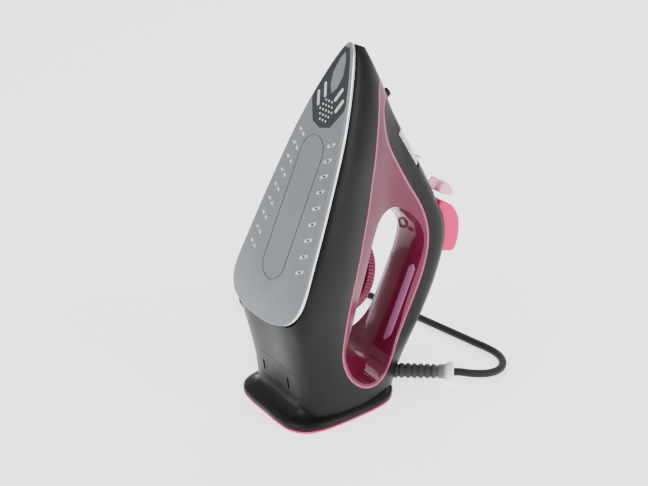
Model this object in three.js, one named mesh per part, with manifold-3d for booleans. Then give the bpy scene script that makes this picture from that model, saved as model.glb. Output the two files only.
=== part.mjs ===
// Steam iron standing on its heel rest. Millimetres, +Z up.
// World frame: origin at the middle of the flat heel face, X across the iron, +Y from the
// soleplate side to the handle side. Most pieces are drawn in the ironing frame instead:
// X across, Y along the soleplate from its rear edge (0) to its tip, Z away from the ironing face.
import * as THREE from "three";
import { mergeVertices } from "three/addons/utils/BufferGeometryUtils.js";
import Module from "manifold-3d";

const wasm = await Module();
wasm.setup();

// ---------- driving dimensions ----------
const LEAN = 24;                 // degrees the soleplate leans back when the iron stands
const SOLE_LENGTH = 217;
const SOLE_REAR_Y = -58;         // rear edge of the ironing face, world
const SOLE_REAR_Z = 88.3;
const GAP = 0.3;                 // clearance between neighbouring pieces
const WALL = 2.6;                // plastic wall
const TANK_WALL = 2.2;
const TANK_BAND = 4;             // least tank edge left between the hand opening and the window's outline
const FACE_THICK = 1.5;          // coated ironing face
const RIM_TOP = 4.6;             // bright edge of the casting ends here
const CASTING_TOP = 13;
const DIAL_Y = 46;
const DIAL_R = 32;
const DIAL_BOTTOM = 66.4;
const DIAL_TOP = 76;
const BASE_THICK = 2.6;          // pink plate under the heel
const HEEL_HALF = 50;
const CORD_R = 3.3;
const RELIEF_START = [16, 53, 11];
const RELIEF_DIR = new THREE.Vector3(0.62, 0.785, 0).normalize();
const RELIEF_LENGTH = 56;
const COIL_CENTRE = [-147, 81];
const COIL_R = 36.8;             // to the middle of the coiled turns
const COIL_HALF = 9.9;           // half the width of the band, three turns wide
const COIL_TOP = 18.5;
const PLUG_AT = [-122, 26, 10.3]; // where the cord enters the plug
const PLUG_PITCH = -0.24;        // the plug lies on its rim, so its cord end is low
const CORD_LIE = 3.4;            // height of the cord's middle where it lies on the floor

// ---------- materials ----------
function mat(color, roughness, metalness = 0, extra = {}) {
  return new THREE.MeshStandardMaterial({ color, roughness, metalness, ...extra });
}
const BLACK = 0x2b2b2d;
const blackPlastic = () => mat(BLACK, 0.38);
const tankPink = () => mat(0xb0486f, 0.15, 0, { transparent: true, opacity: 0.75 });
const brightPink = () => mat(0xe8608f, 0.35);
const steel = () => mat(0xb9bcc0, 0.3, 1);
const brass = () => mat(0xb59a55, 0.35, 1);
const aluminium = () => mat(0xc9cbce, 0.28, 1);
const whiteCeramic = () => mat(0xe6e2d8, 0.5);
const rubberBlack = () => mat(0x1d1d1f, 0.75);

// ---------- shape helpers ----------
const V2 = (x, y) => new THREE.Vector2(x, y);
const V3 = (x, y, z) => new THREE.Vector3(x, y, z);

function solid(geometry) {
  const bare = geometry.clone();
  bare.deleteAttribute("normal");
  bare.deleteAttribute("uv");
  const merged = mergeVertices(bare, 1e-4);
  return new wasm.Manifold(new wasm.Mesh({
    numProp: 3,
    vertProperties: new Float32Array(merged.attributes.position.array),
    triVerts: new Uint32Array(merged.index.array),
  }));
}

function geometryOf(manifold) {
  const m = manifold.getMesh();
  const g = new THREE.BufferGeometry();
  g.setAttribute("position", new THREE.BufferAttribute(new Float32Array(m.vertProperties), 3));
  g.setIndex(new THREE.BufferAttribute(new Uint32Array(m.triVerts), 1));
  g.computeVertexNormals();
  return g;
}

const cut = (a, ...rest) => rest.reduce((body, tool) => body.subtract(tool), a);
const join = (a, ...rest) => rest.reduce((body, other) => body.add(other), a);

// Closed skin over rings of points (each ring the same length), with fan caps.
function skin(rings) {
  const n = rings[0].length;
  const pts = rings.flat();
  const index = [];
  for (let i = 0; i + 1 < rings.length; i++) {
    for (let j = 0; j < n; j++) {
      const a = i * n + j;
      const b = i * n + (j + 1) % n;
      index.push(a, b, b + n, a, b + n, a + n);
    }
  }
  for (const [ring, flip] of [[0, true], [rings.length - 1, false]]) {
    const mid = rings[ring].reduce((s, p) => s.add(p), V3(0, 0, 0)).multiplyScalar(1 / n);
    pts.push(mid);
    for (let j = 0; j < n; j++) {
      const a = ring * n + j;
      const b = ring * n + (j + 1) % n;
      index.push(...(flip ? [b, a, pts.length - 1] : [a, b, pts.length - 1]));
    }
  }
  let volume = 0;
  for (let k = 0; k < index.length; k += 3) {
    const [p, q, r] = [pts[index[k]], pts[index[k + 1]], pts[index[k + 2]]];
    volume += p.dot(q.clone().cross(r));
  }
  if (volume < 0) index.reverse();
  const g = new THREE.BufferGeometry();
  g.setAttribute("position", new THREE.BufferAttribute(new Float32Array(pts.flatMap((p) => p.toArray())),
    3));
  g.setIndex(index);
  return g;
}

// Smooth closed outline through a few points.
function smooth(points, count) {
  const curve = new THREE.CatmullRomCurve3(points.map(([x, y]) => V3(x, y, 0)), true, "centripetal");
  return curve.getSpacedPoints(count).slice(0, count).map((p) => V2(p.x, p.y));
}

// Same outline moved outwards (or inwards when d is negative).
function offset(outline, d) {
  const n = outline.length;
  let area = 0;
  for (let i = 0; i < n; i++) area += outline[i].cross(outline[(i + 1) % n]);
  const side = area > 0 ? 1 : -1;
  return outline.map((p, i) => {
    const t = outline[(i + 1) % n].clone().sub(outline[(i + n - 1) % n]).normalize();
    return V2(p.x + side * t.y * d, p.y - side * t.x * d);
  });
}

const shapeOf = (outline) => new THREE.Shape(outline.map((p) => (Array.isArray(p) ? V2(...p) : p)));

// Plan outline (x, y) raised from z0 to z1.
function raise(outline, z0, z1, holes = []) {
  const shape = shapeOf(outline);
  for (const hole of holes) shape.holes.push(new THREE.Path(hole));
  const g = new THREE.ExtrudeGeometry(shape, { depth: z1 - z0, bevelEnabled: false });
  return g.translate(0, 0, z0);
}

// Side outline (y, z) carried across from x0 to x1.
const SIDEWAYS = new THREE.Matrix4().makeBasis(V3(0, 1, 0), V3(0, 0, 1), V3(1, 0, 0));
function across(outline, x0, x1) {
  const g = new THREE.ExtrudeGeometry(shapeOf(outline), { depth: x1 - x0, bevelEnabled: false });
  return g.translate(0, 0, x0).applyMatrix4(SIDEWAYS);
}

// Round bar from a to b.
function bar(a, b, r, sides = 20, r2 = r) {
  const p = V3(...a);
  const q = V3(...b);
  const g = new THREE.CylinderGeometry(r2, r, p.distanceTo(q), sides);
  g.rotateX(Math.PI / 2);
  g.applyQuaternion(new THREE.Quaternion().setFromUnitVectors(V3(0, 0, 1), q.clone().sub(p).normalize()));
  return g.translate((p.x + q.x) / 2, (p.y + q.y) / 2, (p.z + q.z) / 2);
}

function box(x0, x1, y0, y1, z0, z1) {
  return new THREE.BoxGeometry(x1 - x0, y1 - y0, z1 - z0)
    .translate((x0 + x1) / 2, (y0 + y1) / 2, (z0 + z1) / 2);
}

function tubeAlong(points, r, steps, sides = 10) {
  const path = new THREE.CatmullRomCurve3(points.map((p) => V3(...p)), false, "centripetal");
  const section = new THREE.Shape();
  for (let i = 0; i < sides; i++) {
    const a = (2 * Math.PI * i) / sides;
    if (i === 0) section.moveTo(r, 0);
    else section.lineTo(r * Math.cos(a), r * Math.sin(a));
  }
  return new THREE.ExtrudeGeometry(section, { steps, extrudePath: path, bevelEnabled: false });
}

const mirrored = (half) => [...half, ...half.slice(1, -1).reverse().map(([x, y]) => [-x, y])];

// ---------- scene graph ----------
const group = new THREE.Group();
const iron = new THREE.Group();
const tilt = new THREE.Group();
iron.rotation.z = Math.PI;
iron.position.set(0, SOLE_REAR_Y, SOLE_REAR_Z);
tilt.rotation.x = THREE.MathUtils.degToRad(90 + LEAN);
iron.add(tilt);
group.add(iron);
group.updateMatrixWorld(true);
const toIron = tilt.matrixWorld.clone().invert();
const worldTool = (geometry) => solid(geometry.clone().applyMatrix4(toIron));

function add(parent, name, shape, material) {
  const geometry = shape.isBufferGeometry ? shape : geometryOf(shape);
  const mesh = new THREE.Mesh(geometry, material);
  mesh.name = name;
  parent.add(mesh);
  return mesh;
}

// ---------- body shape: half sections (x, z) along the iron ----------
const SECTIONS = [
  [-96, [[0, 64], [34, 64.4], [42, 68], [46.5, 80], [47, 96], [45.5, 110], [42.5, 121], [35, 130],
    [20, 136.5], [0, 138.5]]],
  [-64, [[0, 49], [29, 49.4], [41, 56], [45.6, 72], [46, 90], [44.5, 106], [41.5, 119], [35, 129.5],
    [20, 137.5], [0, 140.5]]],
  [-45, [[0, 39], [29, 39.4], [41, 46.5], [45.5, 63], [46, 84], [44.5, 102], [41, 117], [34, 130],
    [19.5, 139.5], [0, 142.5]]],
  [-25, [[0, 25.4], [29, 25.8], [41, 32.5], [45.5, 49], [45.5, 72], [43, 94], [38, 113], [31, 129],
    [18.5, 141], [0, 145]]],
  [-8, [[0, 14], [31, 14.3], [42.5, 20], [46, 37], [44.8, 58], [40, 82], [32.5, 105], [26.5, 127],
    [17.5, 143.5], [0, 148]]],
  [6, [[0, 6.6], [33, 6.8], [44.4, 11], [46.5, 30], [43.8, 53], [36.5, 73], [26.5, 98], [22.5, 126],
    [16.8, 146], [0, 151]]],
  [30, [[0, 5], [43.5, 5.1], [46.4, 9], [46.6, 28], [42.6, 48], [35.6, 63], [24.5, 84], [19.4, 124],
    [16.4, 149], [0, 155]]],
  [60, [[0, 5], [41.6, 5.1], [44, 9], [44.3, 26], [40.8, 44], [34.3, 60], [23.4, 80], [18.6, 121],
    [16, 150], [0, 156.5]]],
  [90, [[0, 5], [37, 5.1], [39.4, 9], [39.8, 24], [36.8, 40], [31.3, 56], [23, 76], [18.2, 116],
    [15.5, 146], [0, 154]]],
  [108, [[0, 5], [34.2, 5.1], [36.4, 9], [36.8, 23], [33.8, 38], [29, 54], [22.5, 74], [18, 107],
    [14.5, 137], [0, 147]]],
  [122, [[0, 5], [31.7, 5.1], [33.9, 9], [34.3, 22], [31.4, 36], [27, 50], [21.5, 68], [17.3, 95],
    [13.5, 122], [0, 133]]],
  [136, [[0, 5], [29.2, 5.1], [31.4, 9], [31.9, 21], [29.4, 34], [25.4, 47], [20.4, 63], [16.2, 84],
    [12, 106], [0, 117]]],
  [150, [[0, 5], [25.7, 5.1], [27.8, 9], [28.3, 20], [26.4, 32], [23, 44], [18.8, 57], [14.8, 73],
    [10.6, 89], [0, 98.5]]],
  [165, [[0, 5], [21.6, 5.1], [23.7, 9], [24.2, 18], [22.8, 28.5], [20, 39], [16.4, 49], [12.8, 60],
    [9, 70.5], [0, 77.5]]],
  [180, [[0, 5], [17, 5.1], [19, 8.8], [19.6, 16], [18.6, 25], [16.4, 33], [13.6, 40], [10.4, 47], [7, 53],
    [0, 57.5]]],
  [193, [[0, 5], [12.4, 5.1], [14.3, 8.4], [14.9, 14], [14.2, 21], [12.5, 27], [10.3, 32.5], [7.8, 37.5],
    [5, 41.3], [0, 43.8]]],
  [204, [[0, 5], [7.9, 5.1], [9.6, 7.8], [10.1, 12.4], [9.5, 17.4], [8.3, 21.5], [6.8, 25], [5, 27.8],
    [3, 29.6], [0, 30.8]]],
  [211.5, [[0, 5.2], [4.3, 5.3], [5.6, 7.4], [6, 10.4], [5.7, 13.4], [5, 16], [4.1, 18.2], [3, 19.9],
    [1.6, 21], [0, 21.6]]],
  [216.5, [[0, 6.4], [0.9, 6.5], [1.5, 7.5], [1.8, 9.4], [1.7, 11], [1.5, 12.3], [1.2, 13.4], [0.9, 14.2],
    [0.5, 14.8], [0, 15]]],
];
const PER_SPAN = 2;

function bodyGrid() {
  const halves = SECTIONS.map(([y, half]) => {
    const curve = new THREE.CatmullRomCurve3(half.map(([x, z]) => V3(x, y, z)), false, "centripetal");
    const count = (half.length - 1) * PER_SPAN;
    const pts = [];
    for (let j = 0; j <= count; j++) pts.push(curve.getPoint(j / count));
    pts[0].x = 0;
    pts[count].x = 0;
    return pts;
  });
  const columns = halves[0].map((_, j) => {
    const curve = new THREE.CatmullRomCurve3(halves.map((h) => h[j]), false, "centripetal");
    const count = halves.length - 1;
    const pts = [];
    for (let i = 0; i <= count; i++) pts.push(curve.getPoint(i / count));
    return pts;
  });
  return columns[0].map((_, i) => columns.map((column) => column[i]));
}
const GRID = bodyGrid();

// Body solid, its skin moved inwards by depth; the thin nose is dropped from inset copies.
function body(depth) {
  const rows = GRID.length;
  const cols = GRID[0].length;
  const rings = [];
  for (let i = 0; i < rows; i++) {
    const half = [];
    for (let j = 0; j < cols; j++) {
      const p = GRID[i][j];
      if (depth === 0) {
        half.push(p.clone());
        continue;
      }
      const along = GRID[Math.min(i + 1, rows - 1)][j].clone().sub(GRID[Math.max(i - 1, 0)][j]);
      const next = j + 1 < cols ? GRID[i][j + 1] : V3(-GRID[i][j - 1].x, p.y, GRID[i][j - 1].z);
      const last = j > 0 ? GRID[i][j - 1] : V3(-GRID[i][1].x, p.y, GRID[i][1].z);
      const normal = next.clone().sub(last).cross(along).normalize();
      const q = p.clone().addScaledVector(normal, depth);
      if (j === 0 || j === cols - 1) q.x = 0;
      q.x = Math.max(q.x, j === 0 || j === cols - 1 ? 0 : 0.02);
      half.push(q);
    }
    if (depth > 0 && GRID[i][5].x < depth + 3) continue;
    rings.push([...half, ...half.slice(1, -1).reverse().map((p) => V3(-p.x, p.y, p.z))]);
  }
  return solid(skin(rings));
}

// ---------- side outlines (y, z) ----------
// Clear pink window: the tank shows inside it on both sides.
const WINDOW = smooth([[204, 38], [195, 31.2], [177, 32.3], [159, 34.6], [134, 38], [105, 42], [75, 44.7],
  [43, 48],
  [11, 52.5], [-9, 57], [-19, 63.5], [-27, 73], [-31.5, 84], [-32.5, 94], [-30, 104.5], [-24, 114],
    [-15, 121.5],
  [-3, 127], [12, 130.3], [29, 132.5], [47, 133.5], [64, 133], [81, 130.3], [93, 125.8], [103, 119.3],
    [112, 111],
  [120, 101], [127, 90.5], [135, 79], [142.5, 68.5], [150, 58.5], [158, 50.3], [168, 44.5], [179, 41],
    [186, 43.5],
  [190, 55], [198, 55]], 60);
// Hand opening.
const OPENING = smooth([[-8, 76], [20, 74.3], [55, 71.4], [84, 68.6], [97, 69.6], [104, 76.5], [105, 88],
  [102, 100],
  [96.5, 111], [88.5, 118.5], [78, 121.8], [50, 122.6], [20, 122.6], [-2, 122], [-13, 118.3], [-19, 111],
  [-20, 98], [-16, 84]], 38);

const windowTool = (grow) => solid(across(offset(WINDOW, grow), -60, 60));

// The opening flares towards both sides.
function openingTool(grow) {
  const rings = [-52, -38, -29, -22, -16, -10, 10, 16, 22, 29, 38, 52].map((x) => {
    const flare = Math.max(0, 0.4 * (Math.abs(x) - 10)) + Math.max(0, 0.12 * (Math.abs(x) - 27));
    return offset(OPENING, grow + flare).map((p) => V3(x, p.x, p.y));
  });
  return solid(skin(rings));
}

// Half width of the ironing face along its length.
const SOLE_HALF = [[0, 0], [14, 0.6], [26, 3], [37, 7.6], [42.5, 13.5], [45.8, 21.5], [46.4, 30],
  [45.6, 40], [43.6, 56],
  [41.2, 75.5], [39, 91], [35.8, 112], [33.3, 127], [30.3, 143], [27, 156.5], [22.2, 172.5], [15.3, 191.5],
  [9.3, 205], [4.6, 213], [0, SOLE_LENGTH]];
const SOLE = smooth(mirrored(SOLE_HALF), 60);
const inSole = (inset) => offset(SOLE, -inset);
// Plan outline well inside the face, for the pieces above it.
function within(d) {
  const sides = SOLE_HALF.filter(([x, y]) => y >= 30 && x > d + 1.5).map(([x, y]) => [x - d, y]);
  return smooth(mirrored([[0, d], [32 - d / 2, d + 1], [42.6 - d, d + 8],
    ...sides, [0, SOLE_LENGTH - 2.7 * d]]), 48);
}

// ---------- heel in world axes ----------
const HEEL_OUTLINE = smooth(mirrored([[0, -54], [20, -54], [34, -52], [44.5, -44.5], [49.5, -32],
  [HEEL_HALF + 0.5, -15],
  [49.5, 5], [47.5, 25], [43.5, 38], [34, 47.5], [18, 53.5], [0, 55.5]]), 44);
function heelSlab(levels) {
  return skin(levels.map(([z, inset]) => offset(HEEL_OUTLINE, -inset).map((p) => V3(p.x, p.y, z))));
}
const aboveFloor = (z) => worldTool(box(-90, 90, -90, 120, z, 330));

// ---------- main shells ----------
const OUTER = body(0);
const INNER = body(WALL);
const INNER_SOLE = solid(raise(within(3), 0, 12));

// Handle cover: everything above the window from the nozzle to the rear of the grip.
const SPINE = [[189, 38], [189, 46], [192, 60], [150, 140], [60, 190], [-30, 190], [-17, 150], [-17, 100],
  [20, 100], [100, 90], [150, 38]];
const spineTool = (grow) => solid(across(offset(shapeOf(SPINE).getPoints(), grow), -60, 60));

// Fill door patch on the front slope: centre, direction down the slope, and outward normal.
const DOOR_C = V2(160.5, 83.6);
const DOOR_E = V2(0.58, -0.8146);
const DOOR_N = V2(0.8146, 0.58);
function doorPatch(back, front, deep, high) {
  const at = (s, n) => DOOR_C.clone().addScaledVector(DOOR_E, s).addScaledVector(DOOR_N, n);
  return solid(across([at(back, high), at(back, deep), at(front, deep), at(front, high)], -40, 40));
}

const flange = solid(heelSlab([[BASE_THICK + GAP, 0.6], [5.5, 0], [8.5, 0.2], [11, 1.4], [13, 4], [14.6, 8],
  [17, 11.6], [22, 14.5], [30, 16]]).applyMatrix4(toIron));
const INNER_HEEL = worldTool(raise(offset(HEEL_OUTLINE, -18), -5, 26));

let housing = OUTER.intersect(aboveFloor(BASE_THICK + GAP + 3)).add(flange);
housing = cut(housing, windowTool(GAP / 2), spineTool(GAP / 2), INNER, INNER_SOLE, INNER_HEEL);

// Rear cover: lower part of the wall under the soleplate's rear edge.
const coverPatch = (grow) => worldTool(box(-34 - grow, 34 + grow, -54, -22, 23 - grow, 46 + grow));
const rearSkin = OUTER.intersect(coverPatch(-0.2)).subtract(body(2.2));
const rearSlots = [-17.5, 17.5].map((x) => worldTool(box(x - 1.1, x + 1.1, -60, -10, 27.5, 37)));
const rearCover = cut(rearSkin, ...rearSlots);
housing = housing.subtract(coverPatch(0.1));

// Cord outlet bore.
const relief = (s) => RELIEF_DIR.clone().multiplyScalar(s).add(V3(...RELIEF_START)).toArray();
const outletBore = worldTool(bar(relief(-24), relief(16), 7.4, 20));
housing = housing.subtract(outletBore);

// Spray nozzle axis.
const NOZZLE_DIR = V3(0, 0.76, 0.65).normalize();
const nozzleAt = (s) => V3(0, 184.2, 44.5).addScaledVector(NOZZLE_DIR, s).toArray();

// Tank.
const NECK = DOOR_C.clone().addScaledVector(DOOR_E, -2);
const neckAt = (n) => [0, NECK.x + DOOR_N.x * n, NECK.y + DOOR_N.y * n];
const NECK_R = 6.2;
const dialWell = solid(bar([0, DIAL_Y, DIAL_BOTTOM - 0.5], [0, DIAL_Y, 90], DIAL_R + 0.9, 48));
const ROD_Y = 128;
const handOpening = openingTool(0).intersect(windowTool(-TANK_BAND));
let tank = OUTER.intersect(windowTool(-GAP / 2)).subtract(handOpening);
let hollow = body(TANK_WALL).intersect(windowTool(-GAP / 2 - TANK_WALL)).subtract(openingTool(TANK_WALL));
hollow = cut(
  hollow,
  solid(bar([0, DIAL_Y, DIAL_BOTTOM - 0.5 - TANK_WALL], [0, DIAL_Y, 95], DIAL_R + 3, 32)),
  solid(bar([0, DIAL_Y, 30], [0, DIAL_Y, 90], 7, 20)),
  solid(box(-50, 50, 186, 210, 20, 60)),
);
tank = cut(join(tank, solid(bar(neckAt(-25), neckAt(-11), NECK_R, 20))), dialWell, hollow);
tank = cut(
  tank,
  solid(bar(neckAt(-34), neckAt(5), NECK_R - 1.5, 16)),
  solid(bar([0, DIAL_Y, 30], [0, DIAL_Y, 90], 4.4, 20)),
  solid(bar([0, ROD_Y, 30], [0, ROD_Y, 100], 2.4, 16)),
  solid(bar(nozzleAt(-9), nozzleAt(-3.8), 6, 18)),
  solid(bar(nozzleAt(-5), nozzleAt(16), 4.3, 18)),
);

// Handle cover with the tray under the fill door.
const trayBlock = doorPatch(-20.5, 20.5, -13, 8).subtract(body(5));
const coverRoom = INNER.subtract(trayBlock);
let cover = cut(OUTER.intersect(spineTool(-GAP / 2)), windowTool(GAP / 2), coverRoom);
cover = cut(cover, doorPatch(-19, 17.4, -9.3, 9).subtract(body(2.3)));
cover = cut(cover, solid(bar(neckAt(-12), neckAt(6), NECK_R - 1.2, 20)));

// Fill door.
const HINGE = DOOR_C.clone().addScaledVector(DOOR_E, -16.9).addScaledVector(DOOR_N, -1.2);
const doorShell = OUTER.intersect(doorPatch(-16.6, 16.8, -9, 8)).subtract(body(1.7))
  .add(solid(bar([-8, HINGE.x, HINGE.y], [8, HINGE.x, HINGE.y], 1, 12)));

// Controls on top of the cover.
const PRESS = V2(Math.sin(THREE.MathUtils.degToRad(LEAN)), Math.cos(THREE.MathUtils.degToRad(LEAN)));
const BUTTON_SIDE = [[119.5, 131.5], [119.8, 143.5], [116.9, 150], [111.6, 156.4], [101.6, 162], [90, 165],
  [83.2, 163.8], [81.6, 158], [81, 144.5], [99, 136.5]];
const buttonOutline = smooth(BUTTON_SIDE, 26);
const wellOutline = offset(smooth([[120.5, 124], [122.8, 147], [118, 166], [96, 176], [80, 172],
  [79.6, 139], [99, 131]], 20), 0.6);
cover = cut(cover, solid(across(wellOutline, -12.4, 12.4)));
const leverSlot = solid(box(-9.6, 9.6, 126.9, 133.1, 100, 150));
cover = cut(cover, leverSlot);

// Spray nozzle seat at the front end of the cover.
cover = cut(cover, solid(bar(nozzleAt(-8), nozzleAt(16), 4.3, 20)));

// Pilot lamp window behind the buttons.
const LAMP_Y = 68;
cover = cut(cover, solid(bar([0, LAMP_Y, 140], [0, LAMP_Y, 170], 3.3, 16)), outletBore);

// ---------- soleplate group ----------
const TIP_PANEL = [[-11.2, 152], [11.2, 152], [20.6, 171.4], [16.8, 181], [9.8, 192.6], [0, 178.6],
  [-9.8, 192.6],
  [-16.8, 181], [-20.6, 171.4]];
const slotOutline = (x, y, angle, long, wide) => {
  const pts = [];
  for (let i = 0; i < 12; i++) {
    const a = (i / 12) * 2 * Math.PI;
    const bulge = (Math.abs(Math.cos(a)) > 0.5 ? Math.sign(Math.cos(a)) : 0) * (long - wide) / 2;
    const [px, py] = [bulge + (wide / 2) * Math.cos(a), (wide / 2) * Math.sin(a)];
    pts.push(V2(x + px * Math.cos(angle) - py * Math.sin(angle),
      y + px * Math.sin(angle) + py * Math.cos(angle)));
  }
  return pts;
};
const STEAM_Y = [47.8, 59.7, 72, 84, 96, 108, 119.5, 131, 142.3];
const steamX = (y) => 32.6 - 0.098 * (y - 47.8) - 0.00045 * (y - 47.8) ** 2;
let face = solid(raise(inSole(0.3), 0, FACE_THICK));
for (const side of [-1, 1]) {
  for (const y of STEAM_Y) {
    face = face.subtract(solid(raise(slotOutline(side * steamX(y), y, side * 0.35, 6.2, 3), -1, 3)));
  }
}
const stadium = (half, y0, y1, count) => {
  const pts = [];
  for (let i = 0; i <= count; i++) {
    const a = -Math.PI + (Math.PI * i) / count;
    pts.push([half * Math.cos(a), y0 + half * Math.sin(a)]);
  }
  for (let i = 0; i <= count; i++) {
    const a = (Math.PI * i) / count;
    pts.push([half * Math.cos(a), y1 + half * Math.sin(a)]);
  }
  return pts;
};
face = face.subtract(solid(raise(stadium(14.2, 45, 131, 10), -1, 0.45))
  .subtract(solid(raise(stadium(13.4, 45, 131, 10), -2, 2))));
face = face.subtract(solid(raise(offset(shapeOf(TIP_PANEL).getPoints(), 0.3), -1, 0.8)));
add(tilt, "sole_face", face, mat(0x94979c, 0.42, 0.2));

let tip = solid(raise(TIP_PANEL, 0, 0.5));
const TIP_SLOTS = [[12.2, 171, 1.15], [8.2, 178.8, 1.05]];
for (const side of [-1, 1]) {
  for (const [x, y, a] of TIP_SLOTS) {
    tip = tip.subtract(solid(raise(slotOutline(side * x, y, side > 0 ? a : Math.PI - a, 10, 2.4), -1, 1)));
  }
}
for (const [y, count] of [[156.5, 4], [161, 5], [165.5, 4], [170, 3]]) {
  for (let i = 0; i < count; i++) {
    const x = (i - (count - 1) / 2) * 3.9;
    tip = tip.subtract(solid(bar([x, y, -1], [x, y, 1], 0.9, 8)));
  }
}
add(tilt, "sole_tip_panel", tip, mat(0x3a3d42, 0.5, 0.2));

const casting = join(
  solid(raise(inSole(0.15), FACE_THICK + GAP, RIM_TOP)),
  solid(raise(within(7.5), RIM_TOP - 0.5, CASTING_TOP)),
);
add(tilt, "sole_casting", casting, aluminium());

const ELEMENT = [[-24, 12, 0], [-25.5, 40, 0], [-23, 75, 0], [-17.5, 115, 0], [-10, 145, 0], [0, 160, 0],
  [10, 145, 0], [17.5, 115, 0], [23, 75, 0], [25.5, 40, 0], [24, 12, 0]].map(([x, y]) => [x, y, 17.1]);
add(tilt, "heating_element", tubeAlong(ELEMENT, 3.6, 40, 8), steel());
for (const [side, name] of [[-1, "a"], [1, "b"]]) {
  add(tilt, "element_pin_" + name, bar([side * 23.9, 11.6, 17.1], [side * 23.2, 2.5, 17.1], 1.5, 12),
    brass());
}
const chamber = smooth(mirrored([[0, 60], [13, 61], [16, 80], [12.5, 115], [6, 138], [0, 146]]), 28);
const valveHole = solid(bar([0, ROD_Y, 10], [0, ROD_Y, 30], 5.4, 16));
add(tilt, "steam_chamber_cover", cut(solid(raise(chamber, CASTING_TOP + GAP, 15.2)), valveHole), steel());
const shield = cut(
  solid(raise(within(7), 22, 23.2)),
  solid(bar([0, DIAL_Y, 20], [0, DIAL_Y, 26], 5, 16)),
  valveHole,
  solid(box(-60, 60, -10, 9, 20, 26)),
);
add(tilt, "heat_shield", shield, steel());

// ---------- thermostat and dial ----------
add(tilt, "thermostat_body", join(
  solid(bar([0, DIAL_Y, CASTING_TOP + GAP], [0, DIAL_Y, 20.6], 8.5, 20)),
  solid(box(-4.5, 4.5, DIAL_Y - 20, DIAL_Y, 14, 18)),
), whiteCeramic());
add(tilt, "thermostat_bimetal", box(-5, 5, DIAL_Y - 34, DIAL_Y - 20.3, 14.5, 15.5), brass());
add(tilt, "thermal_fuse", bar([-12.5, 30, 15.6], [-12.5, 48, 15.6], 2, 12), whiteCeramic());
const knurl = [];
for (let i = 0; i < 72; i++) {
  const a = (i / 72) * 2 * Math.PI;
  const r = DIAL_R - (i % 2 ? 0.8 : 0);
  knurl.push([r * Math.cos(a), DIAL_Y + r * Math.sin(a)]);
}
const dial = cut(
  join(
    solid(raise(knurl, DIAL_BOTTOM, DIAL_TOP - 1.6)),
    solid(bar([0, DIAL_Y, DIAL_TOP - 2], [0, DIAL_Y, DIAL_TOP], DIAL_R - 2.2, 36)),
  ),
  solid(bar([0, DIAL_Y, DIAL_TOP - 3.4], [0, DIAL_Y, DIAL_TOP + 1], DIAL_R - 6, 36)),
  solid(bar([0, DIAL_Y, 60], [0, DIAL_Y, 71], 3.6, 16)),
);
add(tilt, "temperature_dial", dial, mat(0xa02860, 0.25, 0, { transparent: true, opacity: 0.85 }));
add(tilt, "dial_cap", bar([0, DIAL_Y, DIAL_TOP - 3.1], [0, DIAL_Y, DIAL_TOP - 1.2], 12, 24),
  mat(0x6b1c42, 0.3));
add(tilt, "dial_shaft", bar([0, DIAL_Y, 20.9], [0, DIAL_Y, 70.7], 3.2, 16), steel());

// ---------- steam valve and lever ----------
const drip = cut(
  solid(bar([0, ROD_Y, CASTING_TOP + GAP], [0, ROD_Y, 37.2], 5, 20)),
  solid(bar([0, ROD_Y, 15.5], [0, ROD_Y, 40], 2.6, 16)),
);
add(tilt, "drip_valve_body", drip, brass());
add(tilt, "valve_rod", bar([0, ROD_Y, 16], [0, ROD_Y, 112], 2, 12), steel());
const LEVER_SIDE = smooth([[127.8, 114.5], [132.2, 114.5], [132.4, 121], [134.8, 126.5], [135.8, 131.5],
  [134.6, 137.5],
  [130.6, 143.5], [127, 144], [126.2, 138], [127.4, 129]], 22);
const lever = join(
  solid(across(LEVER_SIDE, -2.4, 2.4)),
  solid(across(smooth([[127, 129.5], [134.5, 130], [135.8, 132.5], [134.6, 137.5], [130.6, 143.5],
    [127, 144],
    [126.2, 138]], 20), -8.5, 8.5)),
  solid(box(-2.4, 2.4, 127.8, 132.2, 112.4, 118)),
);
add(tilt, "steam_lever", lever, mat(0xf6a9c4, 0.2, 0, { transparent: true, opacity: 0.85 }));

// ---------- buttons, plungers, pumps ----------
const PRESS_DIR = V3(0, PRESS.x, PRESS.y).normalize();
const SKIRT_BORE = 4.4;          // bore in the button; the pump barrel slides inside it
const pump = (x, s) => V3(x, 108, 147).addScaledVector(PRESS_DIR, s).toArray();
for (const [name, x0, x1] of [["spray", 0.3, 11.7], ["steam", -11.7, -0.3]]) {
  const mid = (x0 + x1) / 2;
  const skirtCut = solid(bar(pump(mid, -30), pump(mid, 4), SKIRT_BORE, 16));
  add(tilt, name + "_button", cut(solid(across(buttonOutline, x0, x1)), skirtCut), brightPink());
  add(tilt, name + "_plunger", bar(pump(mid, 3.4), pump(mid, -15.5), 2.4, 12), whiteCeramic());
  const barrel = cut(
    solid(bar(pump(mid, -13.4), pump(mid, -21), SKIRT_BORE - GAP, 14)),
    solid(bar(pump(mid, -10), pump(mid, -20), 3, 12)),
  );
  add(tilt, name + "_pump", barrel, mat(0xd9d4cc, 0.5));
}

// ---------- nozzle and lamp ----------
const nozzle = cut(
  join(solid(bar(nozzleAt(-7), nozzleAt(9), 3.9, 20)), solid(bar(nozzleAt(-7), nozzleAt(-4.6), 5.4, 20))),
  solid(bar(nozzleAt(6.5), nozzleAt(12), 2.3, 16)),
);
add(tilt, "spray_nozzle", nozzle, blackPlastic());
add(tilt, "nozzle_insert", cut(
  solid(bar(nozzleAt(6.8), nozzleAt(9.4), 1.9, 14)),
  solid(bar(nozzleAt(8), nozzleAt(11), 0.7, 8)),
), steel());
add(tilt, "pilot_lamp", bar([0, LAMP_Y, 151.5], [0, LAMP_Y, 157], 3, 16), mat(0xd8452f, 0.2));

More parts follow.
